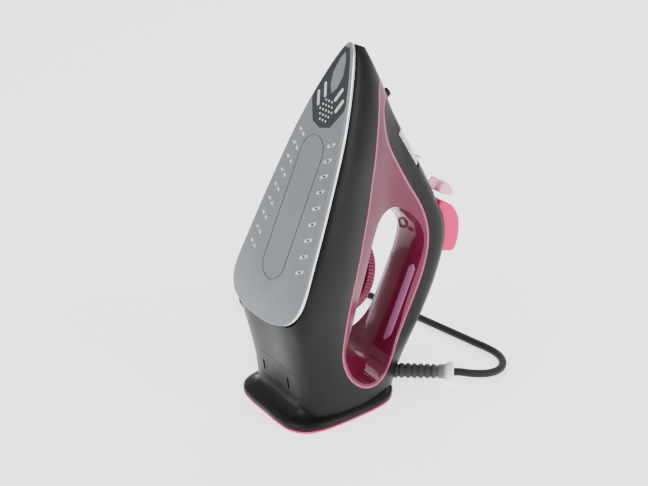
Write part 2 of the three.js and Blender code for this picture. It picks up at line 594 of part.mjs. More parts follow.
// ---------- heel ----------
const screwSpots = [[-30, 18], [30, 18], [0, -40]];
let basePlate = solid(heelSlab([[0, 2.1], [0.5, 1.2], [1.6, 0.5], [BASE_THICK, 0.3]]));
for (const [x, y] of screwSpots) basePlate = basePlate.subtract(solid(bar([x, y, -1], [x, y, 1.5],
  3.6, 16)));
add(group, "heel_base_plate", basePlate, mat(0xb44b6a, 0.35));
screwSpots.forEach(([x, y], i) => {
  add(group, "base_screw_" + (i + 1), bar([x, y, 0.3], [x, y, 1.2], 3.1, 16), steel());
});
add(group, "terminal_block", box(-15, 15, -22, -8, 26, 38), whiteCeramic());
[-9, 0, 9].forEach((x, i) => {
  add(group, "terminal_screw_" + (i + 1), bar([x, -15, 38.3], [x, -15, 40.4], 2.6, 12), brass());
});
add(group, "cord_clamp", box(-14, -1, 12, 20, 4, 18), blackPlastic());

add(tilt, "lower_housing", housing, blackPlastic());
add(tilt, "rear_cover", rearCover, blackPlastic());
add(tilt, "water_tank", tank, tankPink());
add(tilt, "handle_cover", cover, blackPlastic());
add(tilt, "fill_door", doorShell, mat(0xe9edf2, 0.12, 0, { transparent: true, opacity: 0.6 }));

// ---------- strain relief and mains cord ----------
const LATHE_UP = new THREE.Quaternion().setFromUnitVectors(V3(0, 1, 0), RELIEF_DIR);
function alongRelief(profile, sides) {
  const g = new THREE.LatheGeometry(profile.map(([r, s]) => V2(r, s)), sides);
  return g.applyQuaternion(LATHE_UP).translate(...RELIEF_START);
}
const ringed = [[0, -12], [6.4, -12], [6.4, 2]];
for (let i = 0; i < 8; i++) {
  const s = 5 + i * 5.2;
  const r = 6.3 - i * 0.06;
  ringed.push([r, s], [r - 1.1, s + 0.4], [r - 1.1, s + 1.7], [r, s + 2.1]);
}
ringed.push([5.9, 47.5], [7.2, 50.5], [8.2, 53.5], [8.2, 55], [7.2, RELIEF_LENGTH], [0, RELIEF_LENGTH]);
add(group, "strain_relief", alongRelief(ringed, 14), rubberBlack());
add(group, "swivel_collar", alongRelief([[0, -21], [5, -21], [8.2, -17.5], [8.2, -14], [6.4, -12.3],
  [0, -12.3]], 20),
  blackPlastic());

const at = (s, z) => {
  const p = V3(...RELIEF_START).addScaledVector(RELIEF_DIR, s);
  return [p.x, p.y, z];
};
const [CX, CY] = COIL_CENTRE;
const OUTER_TURN = COIL_R + 2 * CORD_R;
// Straight out of the bell, down to the floor in a left turn of 30 mm radius, then straight to the coil.
const CORD_RUN = [at(RELIEF_LENGTH + GAP, 11), at(RELIEF_LENGTH + 6, 10.8), at(RELIEF_LENGTH + 12, 10.1),
  [63.6, 117.2, 8.4], [64.3, 129.2, 6.4], [60.3, 140.5, 4.8], [52.2, 149.3, 3.8],
  [41.3, 154.2, CORD_LIE], [29.4, 154.5, CORD_LIE], [13.6, 151.9, CORD_LIE], [-10.1, 147.9, CORD_LIE],
  [-41.6, 142.6, CORD_LIE], [-73.2, 137.3, CORD_LIE], [-103.7, 132.2, CORD_LIE], [-129, 128, CORD_LIE]];
add(group, "cord_run", tubeAlong(CORD_RUN, CORD_R, 30, 8), rubberBlack());
const coilIn = COIL_R - COIL_HALF;
const coilOut = COIL_R + COIL_HALF;
const coilSection = [[coilIn, 1.4], [coilOut, 1.4], [coilOut, COIL_TOP], [coilIn, COIL_TOP], [coilIn, 1.4]];
const coil = new THREE.LatheGeometry(coilSection
  .map(([r, z]) => V2(r, z)), 40).rotateX(Math.PI / 2).translate(CX, CY, 0);
add(group, "cord_coil", coil, rubberBlack());
// The tail leaves the outer turn on top of the coil, turns a quarter as it drops to the floor,
// and rises into the plug.
const TAIL_X = CX - OUTER_TURN;
const CORD_TAIL = [[TAIL_X + 0.1, 54.8, 12.2], [TAIL_X + 2.5, 44.9, 9.6], [TAIL_X + 9.3, 34.9, 6.6],
  [TAIL_X + 19.4, 28.2, 4.5], [TAIL_X + 31, PLUG_AT[1], 3.6], [-147, PLUG_AT[1], 4],
  [-134, PLUG_AT[1], 7], [PLUG_AT[0] - 0.4, PLUG_AT[1], PLUG_AT[2] - 0.1]];
add(group, "cord_tail", tubeAlong(CORD_TAIL, CORD_R, 14, 8), rubberBlack());
const plug = new THREE.Group();
plug.position.set(...PLUG_AT);
plug.rotation.set(PLUG_PITCH, 0, Math.PI / 2, "ZXY");
group.add(plug);
const plugBody = new THREE.LatheGeometry([[0, 0.6], [4.8, 0.6], [6.5, 14], [9, 22], [17.2, 30], [18.4, 34],
  [18.4, 44],
  [16.6, 46], [0, 46]].map(([r, s]) => V2(r, s)), 20).rotateZ(Math.PI);
add(plug, "plug_body", plugBody, rubberBlack());
for (const [side, name] of [[-1, "a"], [1, "b"]]) {
  add(plug, "plug_pin_" + name, bar([side * 9.5, -46.3, 0], [side * 9.5, -65, 0], 2.4, 12), steel());
}
const tieX = CX + COIL_R;
const tie = cut(
  solid(box(tieX - 12, tieX + 12, CY - 5, CY + 5, 0.2, COIL_TOP + 1.5)),
  solid(box(tieX - 11, tieX + 11, CY - 8, CY + 8, 1.1, COIL_TOP + 0.5)),
);
add(group, "cord_tie", tie, rubberBlack());

export default group;
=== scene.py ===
import math

import bpy
import numpy as np
from mathutils import Matrix, Vector
from mathutils.bvhtree import BVHTree


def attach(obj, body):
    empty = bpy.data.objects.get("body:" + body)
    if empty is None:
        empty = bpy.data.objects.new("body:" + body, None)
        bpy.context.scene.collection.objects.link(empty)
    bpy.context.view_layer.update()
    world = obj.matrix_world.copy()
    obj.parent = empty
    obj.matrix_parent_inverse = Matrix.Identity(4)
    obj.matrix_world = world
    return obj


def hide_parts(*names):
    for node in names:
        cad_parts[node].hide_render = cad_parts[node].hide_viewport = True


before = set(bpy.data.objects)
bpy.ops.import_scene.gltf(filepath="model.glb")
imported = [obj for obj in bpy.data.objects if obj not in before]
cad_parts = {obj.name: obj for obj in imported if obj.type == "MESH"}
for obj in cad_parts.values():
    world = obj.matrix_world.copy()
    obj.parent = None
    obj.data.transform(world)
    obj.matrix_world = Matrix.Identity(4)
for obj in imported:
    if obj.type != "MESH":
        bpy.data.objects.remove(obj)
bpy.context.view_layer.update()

# Two systems are used, both with the CAD's numbers in millimetres. World: origin at the middle of the
# flat heel face, +Z up. Ironing: X across, Y from the soleplate's rear to its tip, Z away from its face.
MM = 0.001
LEAN = math.radians(24)              # how far the soleplate leans back from upright
SIN, COS = math.sin(LEAN), math.cos(LEAN)
SOLE_REAR = (-58.0, 88.3)            # world (y, z) of the soleplate's rear end
SOLE_LENGTH = 217
GAP = 0.3                            # between two parts that meet
WALL = 2.6                           # of the housing and the handle
TANK_WALL = 2.2
TANK_BAND = 4                        # least height of tank between its edge and the hand opening
FACE_THICK = 1.5                     # the soleplate: coated face, then the casting's rim, then its top
RIM_TOP = 4.6
CASTING_TOP = 13
DIAL_Y, DIAL_R, DIAL_BOTTOM, DIAL_TOP = 46, 32, 66.4, 76
BASE_THICK = 2.6
BASE_SCREWS = ((-30, 18), (30, 18), (0, -40))
ROD_Y, ROD_BORE = 128, 2.4           # drip valve rod, through the tank
LAMP_Y, LAMP_BORE = 68, 3.3          # pilot lamp, in the top of the handle
CORD_R = 3.3
RELIEF_START = np.array([16.0, 53.0, 11.0])
RELIEF_DIR = np.array([0.62, 0.785, 0.0]) / math.hypot(0.62, 0.785)
RELIEF_LENGTH = 56
COIL_CENTRE = (-147, 81)
COIL_R = 36.8                        # of the middle turn
CORD_LIE = 3.4                       # height of the cord's centre line where it lies on the ground
PLUG_AT = (-122, 26, 10.3)
PLUG_PITCH = -0.24                   # radians
BODY = "iron_body"

# Camera, in metres.
CAMERA_AT = (0.70831, -0.46836, 0.52111)
CAMERA_RIGHT = (0.56091, 0.82778, -0.01288)
CAMERA_AHEAD = (-0.75604, 0.50583, -0.41538)
SENSOR_WIDTH, LENS = 36, 67.756      # millimetres


# ---------- camera ----------
def add_camera():
    right = Vector(CAMERA_RIGHT).normalized()
    ahead = Vector(CAMERA_AHEAD).normalized()
    up = right.cross(ahead)
    turn = Matrix((right, up, -ahead)).transposed().to_4x4()
    data = bpy.data.cameras.new("camera")
    data.sensor_width = SENSOR_WIDTH
    data.lens = LENS
    camera = bpy.data.objects.new("camera", data)
    camera.matrix_world = Matrix.Translation(CAMERA_AT) @ turn
    bpy.context.scene.collection.objects.link(camera)
    bpy.context.scene.camera = camera


add_camera()


# ---------- materials ----------
def link_noise(tree, scale, detail, coords, stretch=(1, 1, 1)):
    mapping = tree.nodes.new("ShaderNodeMapping")
    mapping.inputs["Scale"].default_value = stretch
    noise = tree.nodes.new("ShaderNodeTexNoise")
    noise.inputs["Scale"].default_value = scale
    noise.inputs["Detail"].default_value = detail
    tree.links.new(coords, mapping.inputs["Vector"])
    tree.links.new(mapping.outputs["Vector"], noise.inputs["Vector"])
    return noise.outputs["Fac"]


# Heights in metres between which a colour fades to its second one.
FADE_FROM, FADE_TO = 0.06, 0.235
SLOW_SCALE = 22            # of the slow colour change
BUMP_DEPTH = 0.0002        # metres


def fade_up(tree, coords, low, high, target):
    split = tree.nodes.new("ShaderNodeSeparateXYZ")
    reach = tree.nodes.new("ShaderNodeMapRange")
    reach.inputs["From Min"].default_value = FADE_FROM
    reach.inputs["From Max"].default_value = FADE_TO
    mix = tree.nodes.new("ShaderNodeMixRGB")
    mix.inputs["Color2"].default_value = (*high, 1)
    tree.links.new(coords, split.inputs[0])
    tree.links.new(split.outputs["Z"], reach.inputs["Value"])
    tree.links.new(reach.outputs["Result"], mix.inputs["Fac"])
    tree.links.new(low, mix.inputs["Color1"])
    tree.links.new(mix.outputs["Color"], target)


def finish_of(name, color, rough, metal=0.0, grain=1800, bump=0.03, tint=0.06, spread=0.06,
              stretch=(1, 1, 1), high=None, **sockets):
    """A surface with slow colour and roughness change, and a fine moulded or brushed grain.

    high is a second colour, reached towards the top of the standing iron.
    """
    material = bpy.data.materials.new(name)
    material.use_nodes = True
    tree = material.node_tree
    shader = tree.nodes["Principled BSDF"]
    shader.inputs["Metallic"].default_value = metal
    for socket, value in sockets.items():
        shader.inputs[socket.replace("_", " ")].default_value = value
    coords = tree.nodes.new("ShaderNodeTexCoord").outputs["Object"]
    slow = link_noise(tree, SLOW_SCALE, 3, coords)
    ramp = tree.nodes.new("ShaderNodeValToRGB")
    for stop, factor in zip(ramp.color_ramp.elements, (1 - tint, 1 + tint)):
        stop.color = [min(1, c * factor) for c in color] + [1]
    ramp.color_ramp.elements[0].position = 0.3
    ramp.color_ramp.elements[1].position = 0.7
    tree.links.new(slow, ramp.inputs["Fac"])
    if high:
        fade_up(tree, coords, ramp.outputs["Color"], high, shader.inputs["Base Color"])
    else:
        tree.links.new(ramp.outputs["Color"], shader.inputs["Base Color"])
    fine = link_noise(tree, grain, 2, coords, stretch)
    gloss = tree.nodes.new("ShaderNodeMapRange")
    gloss.inputs["To Min"].default_value = max(0.02, rough - spread)
    gloss.inputs["To Max"].default_value = rough + spread
    tree.links.new(fine, gloss.inputs["Value"])
    tree.links.new(gloss.outputs["Result"], shader.inputs["Roughness"])
    relief = tree.nodes.new("ShaderNodeBump")
    relief.inputs["Strength"].default_value = bump
    relief.inputs["Distance"].default_value = BUMP_DEPTH
    tree.links.new(fine, relief.inputs["Height"])
    tree.links.new(relief.outputs["Normal"], shader.inputs["Normal"])
    return material


BLACK = finish_of("black_plastic", (0.006, 0.006, 0.0065), 0.36, bump=0.14, Specular_IOR_Level=0.15)
PINK_CLEAR = finish_of("tank_pink", (0.145, 0.010, 0.036), 0.14, bump=0.01, tint=0.14,
                       high=(0.115, 0.018, 0.044),
                       Transmission_Weight=0.12, IOR=1.49, Specular_IOR_Level=0.18)
PINK_RIM = finish_of("rim_pink", (0.36, 0.06, 0.15), 0.2, bump=0.01, Specular_IOR_Level=0.3)
LILAC = finish_of("gauge_lilac", (0.34, 0.11, 0.25), 0.22, bump=0.01, Specular_IOR_Level=0.3)
BUTTON = finish_of("bright_pink", (0.72, 0.012, 0.13), 0.34, bump=0.05, Specular_IOR_Level=0.2)
LEVER = finish_of("lever_pink", (1.0, 0.36, 0.58), 0.22, bump=0.01, Specular_IOR_Level=0.4)
BASE_PINK = finish_of("base_pink", (0.55, 0.03, 0.12), 0.35, Specular_IOR_Level=0.2)
DIAL = finish_of("dial_magenta", (0.13, 0.004, 0.030), 0.26, bump=0.02, Specular_IOR_Level=0.25)
DOOR = finish_of("clear_door", (0.80, 0.83, 0.86), 0.09, bump=0.01, Transmission_Weight=0.6)
LAMP = finish_of("lamp_red", (0.65, 0.05, 0.02), 0.2, Transmission_Weight=0.3)
WHITE = finish_of("pump_white", (0.72, 0.70, 0.64), 0.5)
SOLE = finish_of("sole_coating", (0.155, 0.167, 0.183), 0.4, metal=0.35, grain=2600, bump=0.06)
# Silver of the tip inserts. In the steam recesses this light colour is a painted highlight.
SILVER_AND_HIGHLIGHT = finish_of("silver_and_painted_highlight", (0.62, 0.64, 0.66), 0.34, metal=0.6, grain=2600)
TIP_DARK = finish_of("tip_dark", (0.014, 0.016, 0.018), 0.45, grain=2600, bump=0.06, Specular_IOR_Level=0.3)
POLISHED = finish_of("cast_aluminium", (0.80, 0.81, 0.82), 0.2, metal=1.0, grain=900, stretch=(1, 1, 12))
STEEL = finish_of("steel", (0.60, 0.61, 0.62), 0.28, metal=1.0, grain=900, stretch=(12, 1, 1))
BRASS = finish_of("brass", (0.62, 0.47, 0.19), 0.32, metal=1.0, grain=900)
CERAMIC = finish_of("ceramic", (0.78, 0.75, 0.68), 0.5)
RUBBER = finish_of("rubber_black", (0.011, 0.011, 0.012), 0.6, bump=0.25, Specular_IOR_Level=0.25)


# ---------- curves and solids ----------
def catmull(points, per_span, closed=False):
    """Centripetal Catmull-Rom curve through the points, per_span samples to each stretch."""
    p = np.array(points, float)
    if closed:
        q = np.vstack([p[-1], p, p[0], p[1]])
    else:
        q = np.vstack([2 * p[0] - p[1], p, 2 * p[-1] - p[-2]])
    t = np.linspace(0, 1, per_span, endpoint=False)[:, None]
    out = []
    for i in range(1, len(q) - 2):
        p0, p1, p2, p3 = q[i - 1:i + 3]
        d0, d1, d2 = (max(np.linalg.norm(b - a) ** 0.5, 1e-6)
                      for a, b in ((p0, p1), (p1, p2), (p2, p3)))
        t1 = ((p1 - p0) / d0 - (p2 - p0) / (d0 + d1) + (p2 - p1) / d1) * d1
        t2 = ((p2 - p1) / d1 - (p3 - p1) / (d1 + d2) + (p3 - p2) / d2) * d1
        out.append(p1 + t1 * t + (-3 * p1 + 3 * p2 - 2 * t1 - t2) * t**2
                   + (2 * p1 - 2 * p2 + t1 + t2) * t**3)
    return np.vstack(out if closed else out + [p[-1:]])


def smooth(points, count):
    """Closed smooth outline, its points evenly spaced."""
    line = catmull(points, 24, closed=True)
    line = np.vstack([line, line[:1]])
    along = np.concatenate([[0], np.cumsum(np.linalg.norm(np.diff(line, axis=0), axis=1))])
    want = np.linspace(0, along[-1], count, endpoint=False)
    return np.stack([np.interp(want, along, line[:, k]) for k in range(2)], 1)


def offset(outline, distance):
    """Outline moved outwards, or inwards when the distance is negative."""
    o = np.array(outline, float)
    following = np.roll(o, -1, 0)
    side = math.copysign(1, np.sum(o[:, 0] * following[:, 1] - o[:, 1] * following[:, 0]))
    t = following - np.roll(o, 1, 0)
    t /= np.linalg.norm(t, axis=1)[:, None]
    return o + side * distance * np.stack([t[:, 1], -t[:, 0]], 1)


def mirrored(half):
    """Whole outline from its right half, which starts and ends on the middle line."""
    return list(half) + [[-x, y] for x, y in reversed(half[1:-1])]


def mesh_of(verts, faces):
    """Mesh with its faces turned outwards."""
    verts = np.array(verts, float)
    volume = 0.0
    for f in faces:
        a = verts[f[0]]
        for i in range(1, len(f) - 1):
            volume += np.dot(a, np.cross(verts[f[i]], verts[f[i + 1]]))
    if volume < 0:
        faces = [f[::-1] for f in faces]
    mesh = bpy.data.meshes.new("work")
    mesh.from_pydata(verts.tolist(), [], [list(map(int, f)) for f in faces])
    return mesh


def skin(rings):
    """Closed skin over rings with as many points each, its ends closed flat."""
    n = len(rings[0])
    faces = []
    for i in range(len(rings) - 1):
        for j in range(n):
            a, b = i * n + j, i * n + (j + 1) % n
            faces.append((a, b, b + n, a + n))
    last = (len(rings) - 1) * n
    faces.append(tuple(range(n))[::-1])
    faces.append(tuple(range(last, last + n)))
    return mesh_of(np.vstack(rings), faces)


def flat_ring(outline, z):
    return np.column_stack([outline, np.full(len(outline), z)])


def side_ring(outline, x):
    return np.column_stack([np.full(len(outline), x), outline])


def raise_(outline, z0, z1):
    """Plan outline carried up from z0 to z1."""
    return skin([flat_ring(outline, z0), flat_ring(outline, z1)])


def across(outline, x0, x1):
    """Side outline carried across from x0 to x1."""
    return skin([side_ring(outline, x0), side_ring(outline, x1)])


def pillow(outline, x0, x1, edge, steps=5):
    """Side outline carried across, its edges rounded to the given radius."""
    rings = []
    for k in range(steps + 1):
        a = k / steps * math.pi / 2
        inset = edge * (1 - math.sin(a))
        rings.append(side_ring(offset(outline, -inset), x0 + edge * (1 - math.cos(a))))
    for k in range(steps + 1):
        a = (1 - k / steps) * math.pi / 2
        inset = edge * (1 - math.sin(a))
        rings.append(side_ring(offset(outline, -inset), x1 - edge * (1 - math.cos(a))))
    return skin(rings)


def lathe(profile, a, axis, sides=64):
    """Profile of (radius, distance) turned about the axis from a; it ends on the axis at both ends."""
    axis = np.array(axis, float) / np.linalg.norm(axis)
    u = np.cross(axis, (0, 0, 1) if abs(axis[2]) < 0.9 else (1, 0, 0))
    u /= np.linalg.norm(u)
    v = np.cross(axis, u)
    angle = np.linspace(0, 2 * math.pi, sides, endpoint=False)[:, None]
    spokes = np.cos(angle) * u + np.sin(angle) * v
    return skin([np.array(a) + axis * s + spokes * max(r, 0.01) for r, s in profile])


def bar(a, b, r, sides=48):
    """Round bar from a to b."""
    a, b = np.array(a, float), np.array(b, float)
    return lathe([(r, 0), (r, np.linalg.norm(b - a))], a, b - a, sides)


def box(x0, x1, y0, y1, z0, z1):
    return raise_([[x0, y0], [x1, y0], [x1, y1], [x0, y1]], z0, z1)


def combine(base, tool, operation):
    """New mesh from two closed ones."""
    objects = [bpy.data.objects.new("work", m) for m in (base, tool)]
    for o in objects:
        bpy.context.scene.collection.objects.link(o)
    modifier = objects[0].modifiers.new("join", "BOOLEAN")
    modifier.operation = operation
    modifier.object = objects[1]
    modifier.solver = "MANIFOLD"
    graph = bpy.context.evaluated_depsgraph_get()
    result = bpy.data.meshes.new_from_object(objects[0].evaluated_get(graph))
    for o in objects:
        bpy.data.objects.remove(o)
    return result


def cut(base, *tools):
    for tool in tools:
        base = combine(base, tool, "DIFFERENCE")
    return base


def join(base, *others):
    for other in others:
        base = combine(base, other, "UNION")
    return base


def meet(base, tool):
    return combine(base, tool, "INTERSECT")


def positions(mesh):
    co = np.zeros(len(mesh.vertices) * 3)
    mesh.vertices.foreach_get("co", co)
    return co.reshape(-1, 3)


def moved(mesh, change):
    """Copy of a mesh with its points changed by a function."""
    copy = mesh.copy()
    copy.vertices.foreach_set("co", change(positions(mesh)).ravel())
    copy.update()
    return copy


def to_world(p):
    """Ironing points to world ones, both in millimetres."""
    y = SIN * p[:, 1] + COS * p[:, 2] + SOLE_REAR[0]
    z = COS * p[:, 1] - SIN * p[:, 2] + SOLE_REAR[1]
    return np.column_stack([-p[:, 0], y, z])


def to_iron(p):
    """World points to ironing ones, both in millimetres."""
    y, z = p[:, 1] - SOLE_REAR[0], p[:, 2] - SOLE_REAR[1]
    return np.column_stack([-p[:, 0], SIN * y + COS * z, COS * y - SIN * z])


def world_tool(mesh):
    """Solid drawn in world millimetres, for cutting the ones drawn in ironing."""
    return moved(mesh, to_iron)


def show(name, mesh, material, body=BODY, nodes=(), in_world=False, sharp=32):
    """Adds the mesh as a piece that rides on a body and stands for CAD nodes."""
    final = moved(mesh, (lambda p: p * MM) if in_world else (lambda p: to_world(p) * MM))
    final.name = name
    final.materials.clear()
    final.materials.append(material)
    final.polygons.foreach_set("use_smooth", [True] * len(final.polygons))
    final.set_sharp_from_angle(angle=math.radians(sharp))
    piece = bpy.data.objects.new(name, final)
    bpy.context.scene.collection.objects.link(piece)
    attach(piece, body)
    if nodes:
        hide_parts(*nodes)
    return piece


# ---------- cord ----------
def relief_at(s, z=11.0):
    """World point a distance along the line of the cord's sleeve."""
    p = RELIEF_START + RELIEF_DIR * s
    return [p[0], p[1], z]


CX, CY = COIL_CENTRE
TURN = 2 * CORD_R
OUTER_TURN = COIL_R + TURN
TAIL_X = CX - OUTER_TURN
# Each step of the coil: it starts and ends at these degrees along the winding, and leaves the cord
# this many diameters out from the middle turn and this many layers up.
COIL_STEPS = [(300, 360, 0, 0), (660, 720, -1, 0), (950, 1010, -1, 1), (1300, 1360, 0, 1),
              (1660, 1720, 1, 1), (1960, 2020, 1, 2)]
COIL_START = 99.5          # degrees round the coil where the run meets its outer turn
COIL_END = 2240.5          # degrees wound from there
PER_TURN = 36              # points
LAYER_RISE = TURN + 0.1


def coil_points():
    points = []
    for p in np.linspace(0, COIL_END, int(COIL_END / 360 * PER_TURN)):
        out, layer = 1.0, 0.0
        for start, end, next_out, next_layer in COIL_STEPS:
            t = min(1.0, max(0.0, (p - start) / (end - start)))
            ease = t * t * (3 - 2 * t)
            out += (next_out - out) * ease
            layer += (next_layer - layer) * ease
        r = COIL_R + TURN * out
        angle = math.radians(COIL_START + p)
        points.append([CX + r * math.cos(angle), CY + r * math.sin(angle),
                       CORD_LIE + LAYER_RISE * layer])
    return points


CORD_RUN = [relief_at(RELIEF_LENGTH + GAP), relief_at(RELIEF_LENGTH + 6, 10.8),
            relief_at(RELIEF_LENGTH + 12, 10.1), [63.6, 117.2, 8.4], [64.3, 129.2, 6.4], [60.3, 140.5, 4.8],
            [52.2, 149.3, 3.8], [41.3, 154.2, CORD_LIE], [29.4, 154.5, CORD_LIE], [13.6, 151.9, CORD_LIE],
            [-10.1, 147.9, CORD_LIE], [-41.6, 142.6, CORD_LIE], [-73.2, 137.3, CORD_LIE],
            [-103.7, 132.2, CORD_LIE], [-129, 128, CORD_LIE]]
CORD_TAIL = [[TAIL_X, CY - 10, 16.5], [TAIL_X, CY - 18, 14.9], [TAIL_X + 0.1, 54.8, 12.2],
             [TAIL_X + 2.5, 44.9, 9.6], [TAIL_X + 9.3, 34.9, 6.6], [TAIL_X + 19.4, 28.2, 4.5],
             [TAIL_X + 31, PLUG_AT[1], 3.6], [-147, PLUG_AT[1], 4], [-134, PLUG_AT[1], 7],
             [PLUG_AT[0] - 0.4, PLUG_AT[1], PLUG_AT[2] - 0.1]]


# Plug moulding, (radius, distance) from the cord's end to its face.
PLUG_PROFILE = [(4.4, 0.6), (4.8, 0.9), (5.0, 4), (6.0, 12), (7.6, 18), (10.5, 23.5), (15.5, 28.4),
                (17.6, 31), (18.3, 33.6), (18.4, 36), (18.4, 43), (18.0, 44.8), (17.0, 46)]
# Strap round the coil: half width, bottom and top of its outside and of its hole, each with the
# (place along the cord, growth) of its outlines. The outside is kept off the ground.
STRAP_OUT, STRAP_OUT_AT = (11.3, 0.8, 19.4), ((-5, 0), (-4.6, 0.5), (4.6, 0.5), (5, 0))
STRAP_HOLE, STRAP_HOLE_AT = (10.6, 1.2, 18.7), ((-9, 0), (9, 0))
STRAP_CLEAR = 0.25
STRAP_POINTS = 40


def strap_part(shape, places, lowest):
    half, low, high = shape
    x = CX + COIL_R
    rings = []
    for y, grow in places:
        outline = smooth([[x - half - grow, low], [x + half + grow, low],
                          [x + half + grow, high + grow], [x - half - grow, high + grow]], STRAP_POINTS)
        rings.append(np.column_stack([outline[:, 0], np.full(STRAP_POINTS, CY + y),
                                      np.maximum(outline[:, 1], lowest)]))
    return skin(rings)


def strap():
    return cut(strap_part(STRAP_OUT, STRAP_OUT_AT, STRAP_CLEAR),
               strap_part(STRAP_HOLE, STRAP_HOLE_AT, -math.inf))


def plug_turn(points):
    """Points drawn along the plug's own -Y axis, placed where the plug lies."""
    turn = Matrix.Rotation(math.pi / 2, 3, "Z") @ Matrix.Rotation(PLUG_PITCH, 3, "X")
    return np.array([list(turn @ Vector(p)) for p in points]) + np.array(PLUG_AT)


def add_cord():
    line = catmull(CORD_RUN + coil_points() + CORD_TAIL, 3)
    data = bpy.data.curves.new("mains_cord", "CURVE")
    data.dimensions = "3D"
    data.bevel_depth = CORD_R * MM
    data.bevel_resolution = 5
    data.use_fill_caps = True
    spline = data.splines.new("POLY")
    spline.points.add(len(line) - 1)
    for point, place in zip(spline.points, line * MM):
        point.co = (*place, 1)
    spline.use_smooth = True
    data.materials.append(RUBBER)
    cord = bpy.data.objects.new("mains_cord", data)
    bpy.context.scene.collection.objects.link(cord)
    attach(cord, BODY)
    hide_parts("cord_run", "cord_coil", "cord_tail")
    plug = moved(lathe(PLUG_PROFILE, (0, 0, 0), (0, -1, 0)), plug_turn)
    body = show("plug_shell", plug, RUBBER, nodes=["plug_body"], in_world=True)
    tie = show("cord_strap", strap(), RUBBER, nodes=["cord_tie"], in_world=True)


add_cord()

# ---------- body shape: half sections (x, z) along the iron ----------
SECTIONS = [
    [-96, [[0, 64], [34, 64.4], [42, 68], [46.5, 80], [47, 96], [45.5, 110], [42.5, 121], [35, 130],
           [20, 136.5], [0, 138.5]]],
    [-64, [[0, 49], [29, 49.4], [41, 56], [45.6, 72], [46, 90], [44.5, 106], [41.5, 119], [35, 129.5],
           [20, 137.5], [0, 140.5]]],
    [-45, [[0, 39], [29, 39.4], [41, 46.5], [45.5, 63], [46, 84], [44.5, 102], [41, 117], [34, 130],
           [19.5, 139.5], [0, 142.5]]],
    [-25, [[0, 25.4], [29, 25.8], [41, 32.5], [45.5, 49], [45.5, 72], [43, 94], [38, 113], [31, 129],
           [18.5, 141], [0, 145]]],
    [-8, [[0, 14], [31, 14.3], [42.5, 20], [46, 37], [44.8, 58], [40, 82], [32.5, 105], [26.5, 127],
          [17.5, 143.5], [0, 148]]],
    [6, [[0, 6.6], [33, 6.8], [44.4, 11], [46.5, 30], [43.8, 53], [36.5, 73], [26.5, 98], [22.5, 126],
         [16.8, 146], [0, 151]]],
    [30, [[0, 5], [43.5, 5.1], [46.4, 9], [46.6, 28], [42.6, 48], [35.6, 63], [24.5, 84], [19.4, 124],
          [16.4, 149], [0, 155]]],
    [60, [[0, 5], [41.6, 5.1], [44, 9], [44.3, 26], [40.8, 44], [34.3, 60], [23.4, 80], [18.6, 121],
          [16, 150], [0, 156.5]]],
    [90, [[0, 5], [37, 5.1], [39.4, 9], [39.8, 24], [36.8, 40], [31.3, 56], [23, 76], [18.2, 116],
          [15.5, 146], [0, 154]]],
    [108, [[0, 5], [34.2, 5.1], [36.4, 9], [36.8, 23], [33.8, 38], [29, 54], [22.5, 74], [18, 107],
           [14.5, 137], [0, 147]]],
    [122, [[0, 5], [31.7, 5.1], [33.9, 9], [34.3, 22], [31.4, 36], [27, 50], [21.5, 68], [17.3, 95],
           [13.5, 122], [0, 133]]],
    [136, [[0, 5], [29.2, 5.1], [31.4, 9], [31.9, 21], [29.4, 34], [25.4, 47], [20.4, 63], [16.2, 84],
           [12, 106], [0, 117]]],
    [150, [[0, 5], [25.7, 5.1], [27.8, 9], [28.3, 20], [26.4, 32], [23, 44], [18.8, 57], [14.8, 73],
           [10.6, 89], [0, 98.5]]],
    [165, [[0, 5], [21.6, 5.1], [23.7, 9], [24.2, 18], [22.8, 28.5], [20, 39], [16.4, 49], [12.8, 60],
           [9, 70.5], [0, 77.5]]],
    [180, [[0, 5], [17, 5.1], [19, 8.8], [19.6, 16], [18.6, 25], [16.4, 33], [13.6, 40], [10.4, 47],
           [7, 53], [0, 57.5]]],
    [193, [[0, 5], [12.4, 5.1], [14.3, 8.4], [14.9, 14], [14.2, 21], [12.5, 27], [10.3, 32.5],
           [7.8, 37.5], [5, 41.3], [0, 43.8]]],
    [204, [[0, 5], [7.9, 5.1], [9.6, 7.8], [10.1, 12.4], [9.5, 17.4], [8.3, 21.5], [6.8, 25], [5, 27.8],
           [3, 29.6], [0, 30.8]]],
    [211.5, [[0, 5.2], [4.3, 5.3], [5.6, 7.4], [6, 10.4], [5.7, 13.4], [5, 16], [4.1, 18.2], [3, 19.9],
             [1.6, 21], [0, 21.6]]],
    [216.5, [[0, 6.4], [0.9, 6.5], [1.5, 7.5], [1.8, 9.4], [1.7, 11], [1.5, 12.3], [1.2, 13.4],
             [0.9, 14.2], [0.5, 14.8], [0, 15]]],
]
AROUND = 5                 # samples to each stretch of a section
ALONG = 4                  # and from one section to the next


def body_grid():
    """Points of the body's right half: a row of them for each place along the iron."""
    halves = []
    for y, half in SECTIONS:
        line = catmull([[x, y, z] for x, z in half], AROUND)
        line[0, 0] = line[-1, 0] = 0
        halves.append(line)
    columns = [catmull([h[j] for h in halves], ALONG) for j in range(len(halves[0]))]
    return np.array(columns).transpose(1, 0, 2)


GRID = body_grid()


